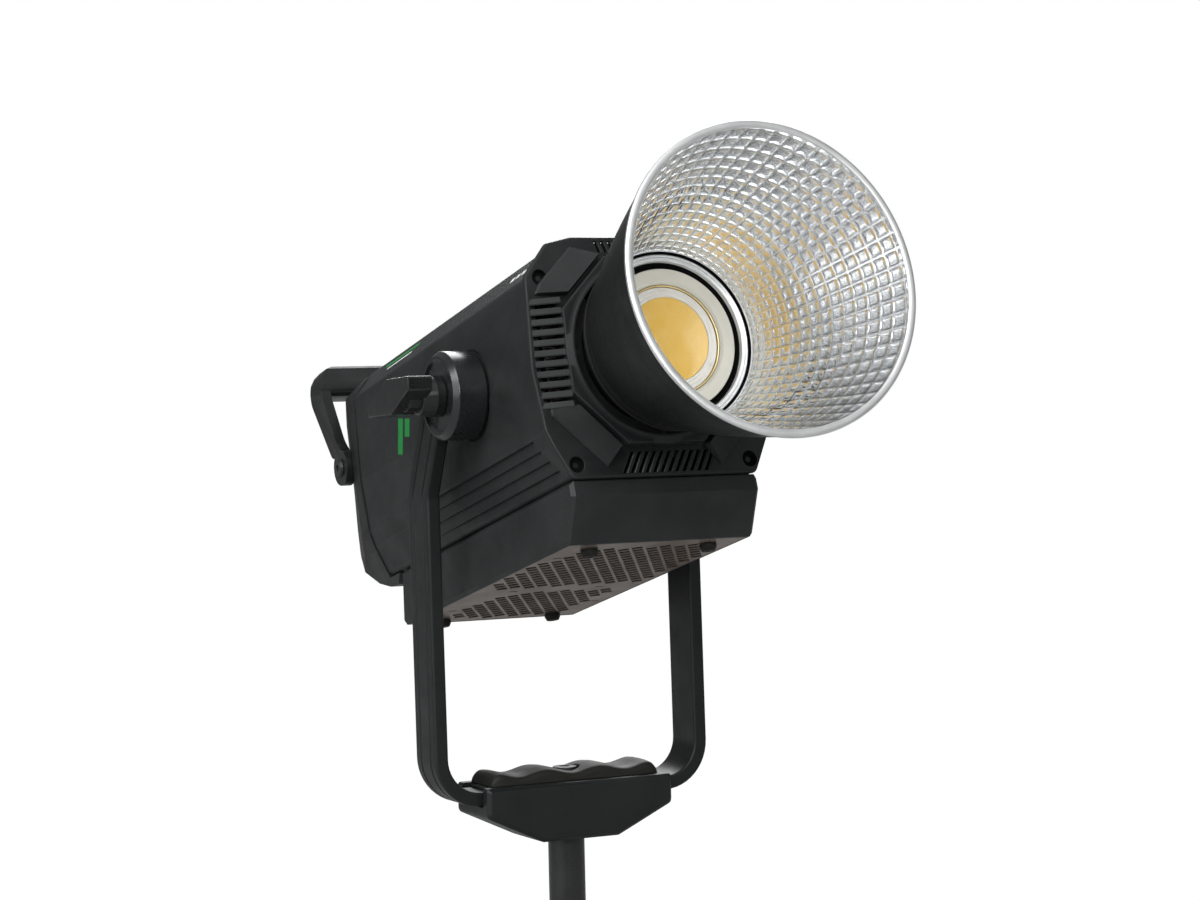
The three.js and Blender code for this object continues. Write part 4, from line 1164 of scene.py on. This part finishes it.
def facet_rows():
    """Rows down the bell's inside, from the rim: distance, scoop position and depth along the row."""
    rows = FACETS["rings"]
    span = FACETS["last"] - FACETS["first"]
    edges = [FACETS["first"] + span * (k / rows) ** FACETS["growth"] for k in range(rows + 1)]
    out = []
    for low, high in zip(edges, edges[1:]):
        pitch = high - low
        out += [(low + pitch * (step + 1) / 2, step, pitch, step in STEPS[:2]) for step in STEPS]
    out += [(edges[-1] + pitch * 0.36 * m / 6, -1 + 0.72 * m / 6, pitch, False) for m in range(7)]
    return list(reversed(out))


def scooped(along):
    """Depth of a scoop across its width, from 0 on the flat ridges to 1 in the middle."""
    return max(0.0, 1 - abs(along / STEPS[-1]) ** 3.2)


def bell_profile():
    """The bell's section outside the facets: (radius, distance) with what each stretch shows."""
    outside = [
        (45, 91), (45, 106), (45.6, 106.6), (45.6, 109), (46.6, 110), (46.6, 112.4), (47.8, 113.4),
        (47.8, 115.6), (49.4, 117.2), (50.2, 119.4), (52.8, 120.2), (54.6, 121.2), (54.6, 123.2),
        (53.5, 123.7), (53.5, 124.7), (54.8, 125.2), (55, 127.4), (54.6, 127.9), (54.8, 128.9),
        (55.8, 129.4), (56.3, 131.4), (55.8, 131.9), (56.1, 132.6),
    ]
    outside += [(bell_radius(u) + BELL["wall"], u) for u in range(134, 247, 4)]
    bead = [
        (89.4, 246.9), (89.7, 247.5), (89.7, 248.8), (89.4, 249.3), (88.8, 249.6), (87.7, 249.7),
        (85.9, 249.6), (85.2, 249.2), (85.2, 248.7), (86.6, 248.2),
    ]
    throat = [
        (52.2, 126.2), (51.9, 121.9), (51.2, 121.6), (51, 124.4), (50.6, 124.95), (49.9, 125),
        (49.6, 124.6), (49.2, 124.6), (48.9, 125), (48.2, 125), (47.9, 124.7), (47.5, 124.7),
        (47.2, 125), (46.8, 124.6), (46.6, 122), (45.6, 121.6), (43.6, 112), (43.6, 91),
    ]
    back = [BLACK] * len(outside) + [SILVER] * (len(bead) - 1) + [SHADE]
    return outside + bead, back, throat, [SHADE] * 3 + [SILVER] * 11 + [SHADE] * 4


def facet_point(row, step, angle):
    """A point on the scooped inside: its row, its place across the facet and its angle."""
    u, along, pitch, _ = row
    radius = bell_radius(u)
    width = 2 * math.pi * radius / FACETS["around"]
    across_scoop, along_scoop = FACETS["scoop"]
    depth = across_scoop * width * scooped(step) * min(1.0, scooped(along) * 3)
    depth += along_scoop * pitch * scooped(along) * min(1.0, scooped(step) * 3)
    return about_beam(radius + depth, u, angle)


def reflector():
    """The bell: scooped facets inside, black outside, a rolled bright rim and three lugs."""
    shell, shell_shades, throat, throat_shades = bell_profile()
    facets = facet_rows()
    shades = shell_shades + [SHINY] * len(facets) + throat_shades
    fine, count = len(STEPS), FACETS["around"] * len(STEPS)
    bm = bmesh.new()
    rings = []
    for i in range(count):
        step = STEPS[i % fine]
        angle = 2 * math.pi * (i // fine + (step + 1) / 2) / FACETS["around"]
        ring = [about_beam(r, u, angle) for r, u in shell]
        ring += [facet_point(row, step, angle) for row in facets]
        ring += [about_beam(r, u, angle) for r, u in throat]
        rings.append([bm.verts.new(p) for p in ring])
    first = len(shell)
    for i, ring in enumerate(rings):
        after = rings[(i + 1) % count]
        for j, vert in enumerate(ring):
            k = (j + 1) % len(ring)
            face = bm.faces.new((vert, ring[k], after[k], after[j]))
            face.material_index = shades[j]
            face.smooth = True
            faceted = 0 <= j - first < len(facets) - 1
            if faceted and i % fine in (1, fine - 1):
                bm.edges.get((vert, ring[k])).smooth = False
            if faceted and facets[j - first][3]:
                bm.edges.get((vert, after[j])).smooth = False
    bmesh.ops.recalc_face_normals(bm, faces=bm.faces)
    looks = [MIRROR, BELL_BLACK, RIM_METAL, PAINTED_SHADE_BLACK]
    shaped("reflector_bell", bm, looks, "reflector", slot="reflector_mirror", smooth=0)
    lugs = []
    for angle in NOTCH_ANGLES:
        lug = rounded([(44.6, 95.9), (49.6, 95.9), (49.6, 98.1), (44.6, 98.1)], 0.4, 2)
        lugs.append(lathe(lug, 16, about_beam, 180 - angle - LOCK_TURN - 6.5, 13))
    piece("reflector_lugs", joined(*lugs), STEEL, "reflector", slot="reflector_mirror")


def turned(node, profile, segments, look, slot=None):
    """A part of the light engine, turned about the beam's axis."""
    shaped(node, lathe(profile, segments, about_beam), look, slot=slot)


def light_engine():
    """The phosphor disc, the silicone dam, the gold trace and the ceramic ring round them."""
    turned("cob_emitter", [
        (0, 122.3), (25.2, 122.3), (25.2, 123.5), (24.6, 123.8), (18, 123.95), (8, 124), (0, 124),
    ], 96, PHOSPHOR, "emitter")
    turned("cob_substrate", [
        (0, 119.8), (31.6, 119.8), (31.6, 122), (30.4, 122.4), (29.6, 122.4), (29.2, 122.9),
        (27.4, 122.9), (27, 123.6), (26.4, 123.9), (25.7, 123.9), (25.35, 123.5), (25.35, 122.15),
        (0, 122.15),
    ], 128, SILICONE, "ceramic")
    turned("cob_contact_ring", [
        (31.9, 119.8), (32.9, 119.8), (32.9, 122.6), (32.7, 122.8), (32.1, 122.8), (31.9, 122.6),
    ], 128, GOLD, "copper")
    turned("led_retaining_ring", rounded([
        (39.4, 100), (42.5, 100), (42.5, 123.6), (41.6, 124.5), (34.6, 124.5), (33.2, 123),
        (33.2, 119.8), (39.4, 119.8),
    ], [0, 0, 0.6, 0.8, 1.2, 0.6, 0, 0], 4), 128, CERAMIC)


# ---- everything else keeps its CAD shape
CARRIED = [
    (BLACK_STEEL, ["base_clamp_bar"]),
    (STEEL, ["tilt_stud_left", "tilt_stud_right"]),
    (RUBBER, ["friction_washer_left", "friction_washer_right"]),
    (ALUMINIUM, ["heatsink", "cob_pedestal", "power_heatsink"]),
    (COPPER, ["heat_pipe_1", "heat_pipe_2", "heat_spreader"]),
    (BOARD, ["control_board", "power_board"]),
    (MOULDED, ["fan_frame", "fan_rotor", "power_transformer", "filter_capacitor_1", "filter_capacitor_2"]),
]


def carried_nodes():
    """Gives the CAD nodes that no piece stands for their materials."""
    for look, names in CARRIED:
        for name in names:
            data = frame["nodes"][name].data
            data.materials.clear()
            data.materials.append(look)


studio()
yoke_bar()
hubs()
base_block()
grip_pad()
base_bolt()
mounting_post()
lock_lever()
main_housing()
accents()
bezel()
power_box()
vent_plate()
feet()
rear()
panel_marks()
mount_ring()
reflector()
light_engine()
carried_nodes()
